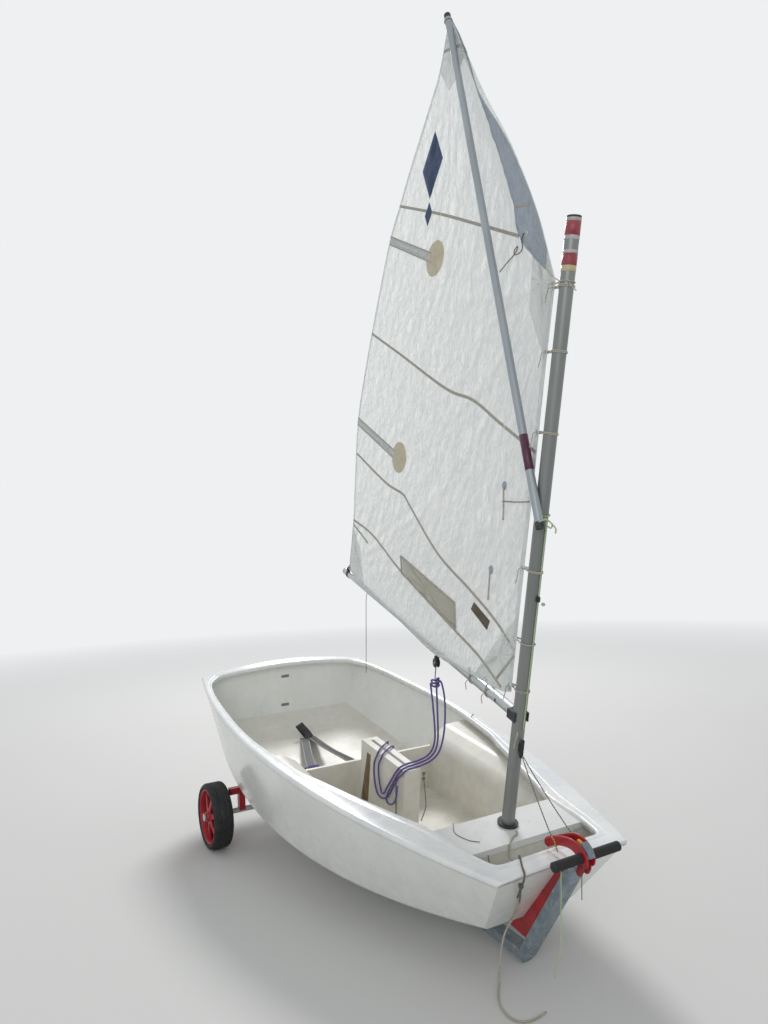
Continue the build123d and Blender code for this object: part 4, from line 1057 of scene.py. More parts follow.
    def tape(self, points: tuple, width: float, thick: float = .0016) -> Patch:
        """Band over both faces of the cloth along a line: its edges lie on the cloth's level.

        Args:
            points: the line in the sail's plane.
            width: of the band.
            thick: how far its two faces are apart.

        Returns:
            A closed patch.
        """
        run = float(lengths(np.array(points, float))[-1])
        line = rounded(points, max(6, int(run / self.tape_step)))
        along = unit(np.gradient(line, axis=0))
        across = np.stack([-along[:, 1], along[:, 0]], 1)
        steps = np.array([-.5, -.45, -.15, .15, .45, .5, .5, .45, .15, -.15, -.45, -.5]) * width
        high = np.array([.2, .5, .5, .5, .5, .2, -.2, -.5, -.5, -.5, -.5, -.2]) * thick
        flat = self.on_cloth(line[:, None, :] + steps[None, :, None] * across[:, None, :])
        rings = self.lifted(flat, high)
        ends = [ring.mean(axis=1, keepdims=True).repeat(len(steps), 1) for ring in (rings[:1], rings[-1:])]
        return Patch(np.concatenate([ends[0], rings, ends[1]]), ring=True)

    def patch(self, outline: Array, proud: float) -> Patch:
        """Flat patch stuck on both faces of the cloth: rings from its middle to its outline and back."""
        outline = np.asarray(outline, float)
        middle = outline.mean(axis=0)
        share = np.array([0.0, .25, .5, .75, .96, 1.0, 1.0, .96, .75, .5, .25, 0.0])[:, None, None]
        high = np.array([1, 1, 1, 1, 1, .4, -.4, -1, -1, -1, -1, -1])[:, None] * proud
        flat = self.on_cloth(middle + share * (outline - middle)[None])
        return Patch(self.lifted(flat, high), ring=True)

    def strip(self, near: tuple, far: tuple, count: int = 110, proud: float = .0022) -> Patch:
        """Band over both faces of the cloth between two lines in its plane."""
        a, b = rounded(near, count)[:, None], rounded(far[::-1], count)[:, None]
        share = np.array([0.0, .02, .25, .5, .75, .97, .99, .97, .75, .5, .25, .02])[None, :, None]
        high = np.array([0, 1, 1, 1, 1, 1, 0, -1, -1, -1, -1, -1]) * proud
        return Patch(self.lifted(a + share * (b - a), high), ring=True)

    def oval(self, at: tuple[float, float], wide: float, high: float, count: int = 32) -> Array:
        """Points round an oval."""
        angle = circle(count)
        return np.stack([at[0] + wide * np.cos(angle), at[1] + high * np.sin(angle)], 1)

    def inward(self, line: tuple, by: float) -> Array:
        """A line moved to its left by a distance."""
        line = rounded(line, 40)
        along = unit(np.gradient(line, axis=0))
        return line + by * np.stack([-along[:, 1], along[:, 0]], 1)

    def eyelet(self, x: float, z: float, radius: float = .009) -> Patch:
        """Pressed ring through the cloth, with a face on each side."""
        profile = [(radius * .5, -.0018), (radius * .6, .0022), (radius * .8, .003), (radius, .0012),
                   (radius, -.0012), (radius * .8, -.003), (radius * .6, -.0024)]
        ring = lathe(profile, (x, float(self.level(x, z)), z), (0.0, 1.0, 0.0), 24)
        ring.loop = True
        return ring

    def trim(self) -> list[Piece]:
        """Seams, hems, doubled corners, pockets, patches, window, label, insignia and eyelets."""
        seams = [self.tape(line, .012) for line in self.seams]
        seams += [self.tape(self.fold_seam, .010, .0062), self.tape(self.tack_seam, .012)]
        hems = [self.tape(self.inward(line, by), wide)
                for line, by, wide in ((self.luff, -.012, .024), (self.leech, .011, .022),
                                       (self.foot, .008, .016), (self.head, -.012, .024))]
        hems += [self.patch(polygon(corners), .0006) for corners in self.corners]
        edges = [self.tape(np.array(line) + (0.0, off), .005, .0052)
                 for line in self.pockets for off in (-.019, .019)]
        discs = [self.patch(self.oval(at, .016, .016), .0016) for at in self.discs]
        ovals = [self.patch(self.oval(at, .092, .074), .0024) for at in self.ovals]
        sides = zip(self.window, self.window[1:] + self.window[:1])
        sewn = (
            ("sail_seams", seams, SEAM),
            ("sail_hems", hems, SAIL_DOUBLE),
            # The strip from the ridge to the head is darkened with painted shade.
            ("sail_fold_painted_shade", [self.strip(self.ridge, self.head[1:])], SAIL_SHADED),
            ("pocket_stitching", edges, SEAM),
            ("batten_pockets", [self.tape(line, .044, .004) for line in self.pockets], POCKET),
            ("battens", [self.tape(line, .012, .008) for line in self.pockets], SAIL_DOUBLE),
            ("telltale_discs", discs, SAIL_SHADED),
            ("sail_patches", ovals, BEIGE_PATCH),
            ("sail_window", [self.patch(polygon(self.window), .0034)], WINDOW),
            ("window_stitching", [self.tape(side, .007, .0082) for side in sides], SEAM),
            ("sail_label", [self.patch(polygon(self.label), .0020)], TAG),
            ("sail_insignia", [self.patch(polygon(corners), .0016) for corners in self.lozenges], NAVY_PATCH))
        pieces = [fitted(name, patches, Place.RIG, finish) for name, patches, finish in sewn]
        rings = [self.eyelet(x, z) for x, z in self.eyelets]
        return pieces + [fitted("sail_eyelets", rings, Place.RIG, STAINLESS)]

    def loose(self, flat: tuple, diameter: float, proud: float = .004) -> Patch:
        """Thin line lying against the near face of the cloth."""
        return tube(self.lifted(self.on_cloth(rounded(flat, 30)), proud), diameter / 2.0, 7)

    def build(self) -> None:
        cloth = self.cloth()
        sewn = self.trim()
        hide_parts("sail")
        telltales = (((.216, 1.148), (.206, 1.10), (.199, 1.06), (.196, 1.032)),
                     ((.251, .840), (.249, .80), (.246, .76), (.244, .732)))
        fitted("sail_telltales", [self.loose(line, .006) for line in telltales], Place.RIG, FLECK_BRAID)
        strings = (((.215, 1.095), (.12, 1.107), (.04, 1.120)),
                   ((.25, 1.995), (.262, 1.975), (.250, 1.950), (.262, 1.935), (.297, 1.932), (.305, 1.948),
                    (.282, 1.958), (.300, 1.935), (.345, 1.915), (.395, 1.889)))
        fitted("sail_lines", [self.loose(line, .0035) for line in strings], Place.RIG, DARK_BRAID)


@dataclass
class Rig:
    """Mast, boom and sprit: bands, ties, the block under the boom and the lines that hold them."""

    mast_r: float = 0.0225
    boom_r: float = 0.020
    boom_z: float = 0.400
    sprit_r: float = 0.014
    block_x: float = 0.676
    block_z: float = 0.334
    tie_heights: tuple = (1.795, 1.598, 1.345, .898)
    heel: Point = (-.060, .0376, 1.050)
    peak: Point = (1.052, .0376, 3.008)

    def sleeve(self, at: Array, axis: Array, radius: float, run: float, thick: float = .0006) -> Patch:
        """Band of tape round a tube."""
        band = lathe([(radius + .0001, 0.0), (radius + thick, .0004), (radius + thick, run - .0004),
                      (radius + .0001, run)], at, axis, 40)
        band.loop = True
        return band

    def tie(self, z: float, turns: float = 2.0, diameter: float = .0035) -> list[Patch]:
        """Lashing from the mast to the luff: turns round the mast, drawn out to the eyelet, and a tail.

        Args:
            z: height up the mast.
            turns: how often it goes round.
            diameter: of the line.

        Returns:
            Two tubes.
        """
        angle = np.linspace(0.0, turns * 2.0 * math.pi, int(44 * turns))
        reach = np.maximum(np.cos(angle), 0.0) ** 5
        radius = self.mast_r + diameter * .55
        x = radius * np.cos(angle) + .024 * reach
        y = radius * np.sin(angle) * (1.0 - .55 * reach) + .012 * reach
        climb = (angle / angle[-1] - .5) * diameter * 2.4 * turns * .5
        path = np.stack([x, y, z + climb + .002 * np.sin(angle)], 1)
        tail = ((.047, .020, z), (.050, .032, z - .004), (.040, .040, z - .022), (.044, .043, z - .050))
        return [tube(path, diameter / 2.0, 7), thread(tail, 14, diameter / 2.0)]

    def masts(self) -> None:
        """Bands and ties of the mast, and the line down its front."""
        up = (0.0, 0.0, 1.0)
        bands = (("red", RED_TAPE, ((1.944, .040), (1.856, .034))),
                 ("white", WHITE_TAPE, ((1.9305, .012), (1.891, .010), (1.985, .010))),
                 ("beige", BEIGE_TAPE, ((1.838, .017),)))
        for colour, finish, rows in bands:
            sleeves = [self.sleeve((0.0, 0.0, z), up, self.mast_r, run) for z, run in rows]
            fitted(f"mast_bands_{colour}", sleeves, Place.RIG, finish)
        ties = [part for z in self.tie_heights for part in self.tie(z)] + self.tie(1.808, 1.0)
        ties += [thread(((.024, .010, 1.812), (.06, .022, 1.835), (.10, .026, 1.872)), 10, .0016),
                 thread(((-.022, .008, 1.806), (-.048, .012, 1.788), (-.078, .016, 1.772)), 10, .0016)]
        fitted("luff_ties", ties, Place.RIG, WHITE_BRAID)
        ring = self.tie(.655, 1.0, .005)[:1] + self.tie(.492, 2.0)
        fitted("tack_tie", ring, Place.RIG, FLECK_BRAID)
        front = ((-.058, .050, 1.062), (-.060, .030, 1.078), (-.040, .004, 1.075), (-.0245, -.006, 1.02),
                 (-.0245, -.006, .70), (-.0245, -.004, .36))
        eye = np.linspace(0.0, 2.0 * math.pi, 24)
        loop = np.stack([.026 * np.cos(eye), .026 * np.sin(eye), 1.088 + .004 * np.cos(eye)], 1)
        curl = ((-.058, .046, 1.070), (-.075, .030, 1.082), (-.092, .018, 1.070), (-.080, .014, 1.056),
                (-.064, .022, 1.066), (-.082, .024, 1.078), (-.104, .012, 1.060), (-.098, .006, 1.044))
        heel = [thread(front, 60, .0020, 8), tube(loop, .0022, 8), thread(curl, 50, .0024, 8)]
        fitted("heel_line", heel, Place.RIG, GREEN_BRAID)
        fairlead = cushion((.012, .010, .018), (-.0285, -.004, .812))
        fitted("mast_fairlead", [fairlead], Place.RIG, BLACK_PLASTIC)
        tail = ((-.0201, .0122, .3528), (-.0175, .0160, .3209), (-.0143, .0186, .2927))
        knot = [cushion((.013, .011, .012), (-.033, -.022, .796), edge=.8), thread(tail, 12, .0020, 8)]
        fitted("mast_lines", knot, Place.RIG, WHITE_BRAID)

    def booms(self) -> None:
        """Ties round the boom, its block with shackle and strop, the clew's fitting and the rivets."""
        aft, port = np.array([1.0, 0.0, 0.0]), np.array([0.0, 1.0, 0.0])
        ties = []
        for x, z in ((.209, .450), (.338, .436)):
            angle = np.linspace(0.0, 4.0 * math.pi, 80)
            reach = np.maximum(np.cos(angle), 0.0) ** 3
            radius = self.boom_r + .002
            along = x + (angle / angle[-1] - .5) * .010
            across = radius * np.sin(angle) * (1 - .3 * reach) + .008 * reach
            height = self.boom_z + radius * np.cos(angle) + (z - self.boom_z - radius) * reach
            tail = ((x, .024, self.boom_z - .004), (x + .006, .030, self.boom_z - .020),
                    (x - .004, .030, self.boom_z - .042))
            ties += [tube(np.stack([along, across, height], 1), .0017, 7), thread(tail, 10, .0017)]
        fitted("foot_ties", ties, Place.RIG, FLECK_BRAID)
        lashing = ((1.875, .026, .458), (1.905, .030, .446), (1.936, .022, .430), (1.930, .016, .446),
                   (1.900, .020, .462), (1.875, .018, .459))
        clew = [self.sleeve((1.930, 0.0, self.boom_z), aft, self.boom_r, .024, .003),
                cushion((.030, .012, .022), (1.942, .012, .427)), thread(lashing, 30, .0025, 8)]
        fitted("clew_fitting", clew, Place.RIG, BLACK_PLASTIC)
        at = np.array([self.block_x, 0.0, self.block_z])
        cheek = [(0.0, 0.0), (.018, 0.0), (.021, .0012), (.0195, .0034), (.012, .0042), (0.0, .0044)]
        sheave = [(0.0, -.0048), (.0125, -.0048), (.0125, -.0030), (.0095, 0.0), (.0125, .0030),
                  (.0125, .0048), (0.0, .0048)]
        block = [lathe(cheek, at + .0052 * port, port, 36), lathe(cheek, at - .0052 * port, -port, 36),
                 lathe(sheave, at, port, 36), cushion((.016, .018, .020), at + (0, 0, .020))]
        piece = fitted("sheet_block_cheeks", block, Place.RIG, BLACK_PLASTIC)
        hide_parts("sheet_block")
        bow = np.linspace(-.2, math.pi + .2, 24)
        shackle = np.stack([at[0] + .0085 * np.cos(bow), 0.0 * bow, at[2] + .034 + .011 * np.sin(bow)], 1)
        metal = [tube(shackle, .0022, 8),
                 self.sleeve((self.block_x - .007, 0.0, self.boom_z), aft, self.boom_r, .014, .0016),
                 cushion((.012, .010, .008), (self.block_x, 0.0, self.boom_z - self.boom_r - .003)),
                 screw(at + .0094 * port, port, .004, .0015), screw(at - .0094 * port, -port, .004, .0015)]
        metal += [screw((x, side * self.boom_r, self.boom_z), side * port, .0035, .0015)
                  for x in (.075, .098, 1.985) for side in (-1.0, 1.0)]
        fitted("boom_metalwork", metal, Place.RIG, STAINLESS)
        angle = np.linspace(0.0, 5.0 * math.pi, 70)
        top = Place.BOAT.put([1.3840, .1130, .6900])
        drop = .016 - .034 * angle / angle[-1] + .004 * np.sin(2 * angle)
        bunch = top + np.stack([.010 * np.cos(angle), .018 * np.sin(angle), drop], 1)
        eye = Place.RIG.put([at - (0, 0, .021), at - (0, 0, .030)])
        strop = thread(np.vstack([eye, top + (0, 0, .014), top + (.006, .004, -.012)]), 24, .0022, 8)
        piece = made("sheet_bunch", [tube(bunch, .004, 9), strop], Place.PART)
        dress(piece, PURPLE_BRAID, "rig")
        hanging = ((1.556, .021, .392), (1.5509, .026, .3569), (1.5034, .026, .1507), (1.4645, .026, -.0184))
        fitted("clew_line", [thread(hanging, 30, .0016)], Place.RIG, DARK_BRAID)
        plug = screw((.135, self.boom_r - .0006, self.boom_z), port, .0065, .0010)
        fitted("boom_plug", [plug], Place.RIG, BLACK_PLASTIC)

    def sprits(self) -> None:
        """Tape round the sprit, and the loop and tie at its peak."""
        heel, peak, port = np.array(self.heel), np.array(self.peak), np.array([0.0, 1.0, 0.0])
        axis = unit(peak - heel)
        run = float(np.linalg.norm(peak - heel))
        band = self.sleeve(heel + axis * .198, axis, self.sprit_r, .125)
        fitted("sprit_band", [band], Place.RIG, PURPLE_TAPE)
        angle = np.linspace(0.0, 2.0 * math.pi, 30)[:, None]
        near_peak = heel + axis * (run - .035)
        around = np.cos(angle) * np.cross(axis, port) + np.sin(angle) * port
        loop = near_peak + (self.sprit_r + .002) * around
        tie = (tuple(near_peak - .016 * port), (1.052, .020, 2.975), (1.050, .024, 2.962))
        fitted("peak_loop", [tube(loop, .0022, 8), thread(tie, 12, .0022, 8)], Place.RIG, WHITE_BRAID)

    def build(self) -> None:
        """Everything on the spars."""
        self.masts()
        self.booms()
        self.sprits()


@dataclass
class Gunwale:
    """The gunwale: a ring rolled over outside, grooved and crowned on top and softly lipped inside."""

    sheer: tuple = ((.004, .487, .383), (1.150, .558, .387), (2.303, .268, .419))
    opening: tuple = ((.054, .400), (.150, .474), (.450, .515), (.900, .528), (1.300, .472), (1.410, .436),
                      (1.610, .372), (1.810, .304), (1.900, .270), (2.000, .255), (2.100, .247),
                      (2.226, .217))
    proud: float = .003
    deep: float = .024
    thin: tuple[float, float] = (.021, .011)
    roll: float = .017
    lip: float = .008
    crown: tuple[float, float] = (.050, .010)
    crown_run: float = .400
    lean: Point = (.079, .575, .29)
    side_points: int = 420
    bow_points: int = 90
    stern_points: int = 130

    def line(self, x: Array, column: int) -> Array:
        """Half width or height of the sheer at x, a parabola through its three stations."""
        rows = np.array(self.sheer)
        return np.polyval(np.polyfit(rows[:, 0], rows[:, column], 2), x)

    def top(self, x: Array, y: Array) -> Array:
        """Height of the gunwale's top at x and y."""
        stern = self.crown[0] * np.maximum(0.0, 1.0 - np.maximum(x, 0.0) / self.crown_run) ** 2
        ahead = np.maximum(self.sheer[2][0] - x, 0.0)
        bow = self.crown[1] * np.maximum(0.0, 1.0 - ahead / self.crown_run) ** 2
        return self.line(x, 2) + (stern + bow) * (1.0 - (y / self.line(x, 1)) ** 2)

    def softened(self, outline: Array, reach: int, passes: int) -> Array:
        """A closed outline with its corners rounded by a running mean over its points."""
        for _ in range(passes):
            outline = np.mean([np.roll(outline, k, axis=0) for k in range(-reach, reach + 1)], axis=0)
        return outline

    def edges(self) -> tuple[Array, Array]:
        """Outer and inner edge in plan, point for point, from the stern along the port side and back."""
        sides, bows, sterns = self.side_points, self.bow_points, self.stern_points
        t = np.linspace(0.0, 1.0, sides, endpoint=False)
        low, high = self.sheer[0][0] - self.proud, self.sheer[2][0] + self.proud
        x = low + (high - low) * t
        half = self.line(x, 1) + self.proud
        side = np.stack([x, half], 1)
        bow_y = half[-1] * (1.0 - 2.0 * np.linspace(0.0, 1.0, bows, endpoint=False))
        bow = np.stack([high + self.lean[1] * (self.top(high, bow_y) - self.line(high, 2)), bow_y], 1)
        stern_y = half[0] * (2.0 * np.linspace(0.0, 1.0, sterns, endpoint=False) - 1.0)
        stern = np.stack([low - self.lean[0] * (self.top(low, stern_y) - self.line(low, 2)), stern_y], 1)
        outer = np.concatenate([side, bow, side[::-1] * (1, -1), stern])
        inner_side = rounded(self.opening, sides)
        (x0, y0), (x1, y1) = inner_side[0], inner_side[-1]
        inner_bow = np.stack([np.full(bows, x1), np.linspace(y1, -y1, bows)], 1)
        inner_stern = np.stack([np.full(sterns, x0), np.linspace(-y0, y0, sterns)], 1)
        inner = np.concatenate([inner_side, inner_bow, inner_side[::-1] * (1, -1), inner_stern])
        return self.softened(outer, 1, 1), self.softened(inner, 5, 2)

    def build(self) -> None:
        """The ring: one section carried round between the two edges."""
        outer, inner = self.edges()
        inward = inner - outer
        wide = np.linalg.norm(inward, axis=1)
        inward = inward / wide[:, None]
        out = unit(outer - np.roll(outer, 1, axis=0) + np.roll(outer, -1, axis=0) - outer)
        normal = np.stack([-out[:, 1], out[:, 0]], 1)
        ends = np.where(normal[:, 0] < 0.0, self.lean[0], self.lean[1])
        flare = self.lean[2] * normal[:, 1] ** 2 + ends * normal[:, 0] ** 2
        angle = np.linspace(0.0, math.pi / 2, 8)
        bow = np.where(normal[:, 0] > 0.0, normal[:, 0] ** 2, 0.0)
        edge = (self.thin[0] + (self.thin[1] - self.thin[0]) * bow)[:, None]
        roll = np.minimum(np.minimum(self.roll, .45 * wide)[:, None], .75 * edge)
        lip = self.lip
        start, stop = roll, wide[:, None] - lip
        groove = start + .72 * (stop - start)
        slot = np.minimum(.0035, .2 * (stop - start))
        one = np.ones_like(roll)
        rows = [(self.proud * one, self.deep * one), (self.proud * one, edge), (.0006 * one, edge),
                (0.0 * one, edge - .0008), (0.0 * one, roll + .0006)]
        rows += [(roll * (1.0 - math.cos(a)), roll * (1.0 - math.sin(a))) for a in angle]
        rows += [(groove - 2.0 * slot, .0002 * one), (groove - slot, .0006 * one), (groove, .0022 * one),
                 (groove + slot, .0008 * one), (stop, .0001 * one)]
        rows += [(stop + lip * math.sin(a), lip * (1.0 - math.cos(a)) * one) for a in angle[1:]]
        rows += [(stop + lip, self.deep * one), (.4 * (stop + lip), self.deep * one)]
        across = np.concatenate([row[0] for row in rows], 1)
        depth = np.concatenate([row[1] for row in rows], 1)
        flat = outer[:, None, :] + across[..., None] * inward[:, None, :]
        slope = flare[:, None] * np.minimum(depth, self.deep) * (across < .5 * wide[:, None])
        turned_in = -np.sign((normal * inward).sum(1))[:, None, None] * normal[:, None, :]
        flat = flat - slope[..., None] * turned_in
        height = self.top(flat[..., 0], flat[..., 1]) - depth
        ring = Patch(np.concatenate([flat, height[..., None]], -1), ring=True, loop=True)
        piece = fitted("gunwale_rolled", [ring], Place.BOAT, RIM_GELCOAT)
        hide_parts("gunwale_rim")


@dataclass
class Hull:
    """Fittings of the boat: straps, case panel, gudgeon bolts, bow lines and small lines inside."""

    strap_w: float = 0.050
    far_strap: tuple = ((.335, .025, .0806), (1.016, -.077, .2355))
    near_strap: tuple = ((.335, -.008, .0768), (1.016, -.278, .2355))

    def straps(self) -> None:
        """Toe straps: webbing that sags a little, with stitched edges and the folded end where they meet."""
        stitches = []
        for name, ends, finish in (("toe_strap_left", self.far_strap, WEBBING),
                                   ("toe_strap_right", self.near_strap, GREY_WEBBING)):
            t = np.linspace(0.0, 1.0, 40)[:, None]
            a, b = np.array(ends)
            path = a + (b - a) * t - np.array([0.0, 0.0, .006]) * np.sin(math.pi * t) ** 2
            across = (np.array([b[1] - a[1], a[0] - b[0], 0.0])
                      + np.array([0.0, 0.0, .08]) * np.sin(3.0 * t) ** 2)
            band = strap(path, across, self.strap_w, .0030)
            piece = fitted(f"{name}_webbing", [band], Place.BOAT, finish)
            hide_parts(name)
            stitches += [strap(path[3:] + unit(across)[3:] * off + (0, 0, .0014), across[3:], .0034, .0010, 8)
                         for off in (-.0195, .0195)]
        fitted("toe_strap_stitching", stitches, Place.BOAT, STITCH)
        fold = ((.352, .012, .0850), (.330, .004, .093), (.310, -.014, .118), (.299, -.028, .140),
                (.306, -.030, .146), (.316, -.016, .130), (.334, .004, .106), (.360, .012, .0885))
        end = strap(rounded(fold, 44), (.30, -1.0, -.25), self.strap_w * .9, .0028)
        fitted("toe_strap_fold", [end], Place.BOAT, WEBBING)
        angle = np.linspace(0.0, 6.0 * math.pi, 90)
        x, y, z = .978, -.263, .2255
        wrap = np.stack([x + .020 * angle / angle[-1] + .003 * np.sin(angle * .5), y + .034 * np.cos(angle),
                         z + .007 * np.sin(angle)], 1)
        tail = ((.985, -.285, .226), (.992, -.312, .220), (.985, -.330, .236))
        fitted("toe_strap_tie", [tube(wrap, .0038, 8), thread(tail, 12, .003, 8)], Place.BOAT, PURPLE_BRAID)

    def case(self) -> None:
        """Brown panel on the case's starboard face, dotted lines on the case, and strings in the cockpit."""
        ring = polygon(((1.093, .300), (1.126, .299), (1.116, .080), (1.051, .057)))
        middle = ring.mean(axis=0)
        share = np.array([0.0, .5, .97, 1.0, 1.0, 0.0])[:, None, None]
        depth = np.array([.0012, .0012, .0012, .0, -.002, -.002])[:, None] + 0.0 * ring[None, :, 0]
        flat = middle + share * (ring - middle)[None]
        panel = Patch(np.stack([flat[..., 0], -.0400 - depth, flat[..., 1]], -1), ring=True)
        fitted("case_panel", [panel], Place.BOAT, WOOD)
        lines = (((1.4165, .050, .322), (1.4165, .054, .300), (1.4170, .057, .269), (1.4170, .066, .215),
                  (1.4165, .070, .165), (1.4160, .050, .110)),
                 ((1.3505, -.0430, .290), (1.3530, -.0432, .245), (1.3570, -.0432, .195),
                  (1.3620, -.0430, .134)))
        cords = [thread(line, 30, .0022, 8) for line in lines]
        cords += [cushion((.010, .014, .016), (1.4180, .052, z), edge=.8) for z in (.318, .296)]
        fitted("case_shockcord", cords, Place.BOAT, DOTTED_BRAID)
        on_thwart = ((1.931, -.167, .3995), (1.987, -.199, .3992), (2.042, -.186, .3992),
                     (2.069, -.158, .3995))
        in_bow = ((2.142, -.182, .398), (2.168, -.196, .392), (2.190, -.208, .400))
        at_side = ((1.121, .530, .400), (1.116, .524, .388), (1.108, .520, .362))
        strings = [thread(on_thwart, 24, .0011), thread(in_bow, 12, .0018), thread(at_side, 12, .0020)]
        fitted("cockpit_strings", strings, Place.BOAT, DARK_BRAID)

    def bolts(self) -> None:
        """Bolt heads on the two gudgeons."""
        heads = []
        # The transom leans aft by 25 mm over 313 mm of its height. The heads stand 3.5 mm off its face.
        lean = math.atan2(25.0, 313.0)
        out = np.array([-math.cos(lean), 0.0, -math.sin(lean)])
        for z in (.330, .165):
            base = np.array([.029 - .0799 * (z - .070), 0.0, z])
            heads += [screw(base + .0035 * out + np.array([0.0, y, 0.0]), out, .0045, .0022)
                      for y in (-.028, .028)]
        fitted("gudgeon_bolts", heads, Place.BOAT, STAINLESS)

    def bow(self) -> None:
        """The dotted lines from the mast's cleat to the hooks, their ends over the bow and the painter's
        knot.
        """
        top = FRAMES[Place.BOAT][0].T @ (Place.RIG.put([-.032, 0.0, .285]) - BOAT_SHIFT)
        near_end, far_end = (2.247, -.019, .474), (2.300, .015, .499)
        for name, end in (("bow_line_near", near_end), ("bow_line_far", far_end)):
            t = np.linspace(0.0, 1.0, 30)[:, None]
            path = top * (1 - t) + np.array(end) * t - np.array([0.0, 0.0, .006]) * np.sin(math.pi * t)
            line = made(name, [tube(path, .0018, 8)], Place.BOAT)
            line.data.materials.append(DOTTED_BRAID.material())
            tuple(Place.BOAT.put(end))
            tuple(Place.BOAT.put(top))
            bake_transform(line)
            LOG.info("%s made", name)
        over = [thread((near_end, (2.259, -.0195, .469), (2.267, -.0195, .457), (2.279, -.0195, .441)), 14,
                       .0022, 8),
                thread((far_end, (2.306, .0195, .494), (2.308, .0200, .478)), 10, .0020, 8)]
        fitted("bow_line_ends", over, Place.BOAT, YELLOW_BRAID)
        knot = [cushion((.016, .014, .018), (2.3120, -.1930, .3960), edge=.8),
                thread(((2.314, -.196, .392), (2.320, -.206, .380), (2.316, -.208, .366)), 12, .0028, 8)]
        fitted("painter_knot", knot, Place.BOAT, DARK_BRAID)

    def build(self) -> None:
        """Everything in and on the hull."""
        self.straps()
        self.case()
        self.bolts()
        self.bow()


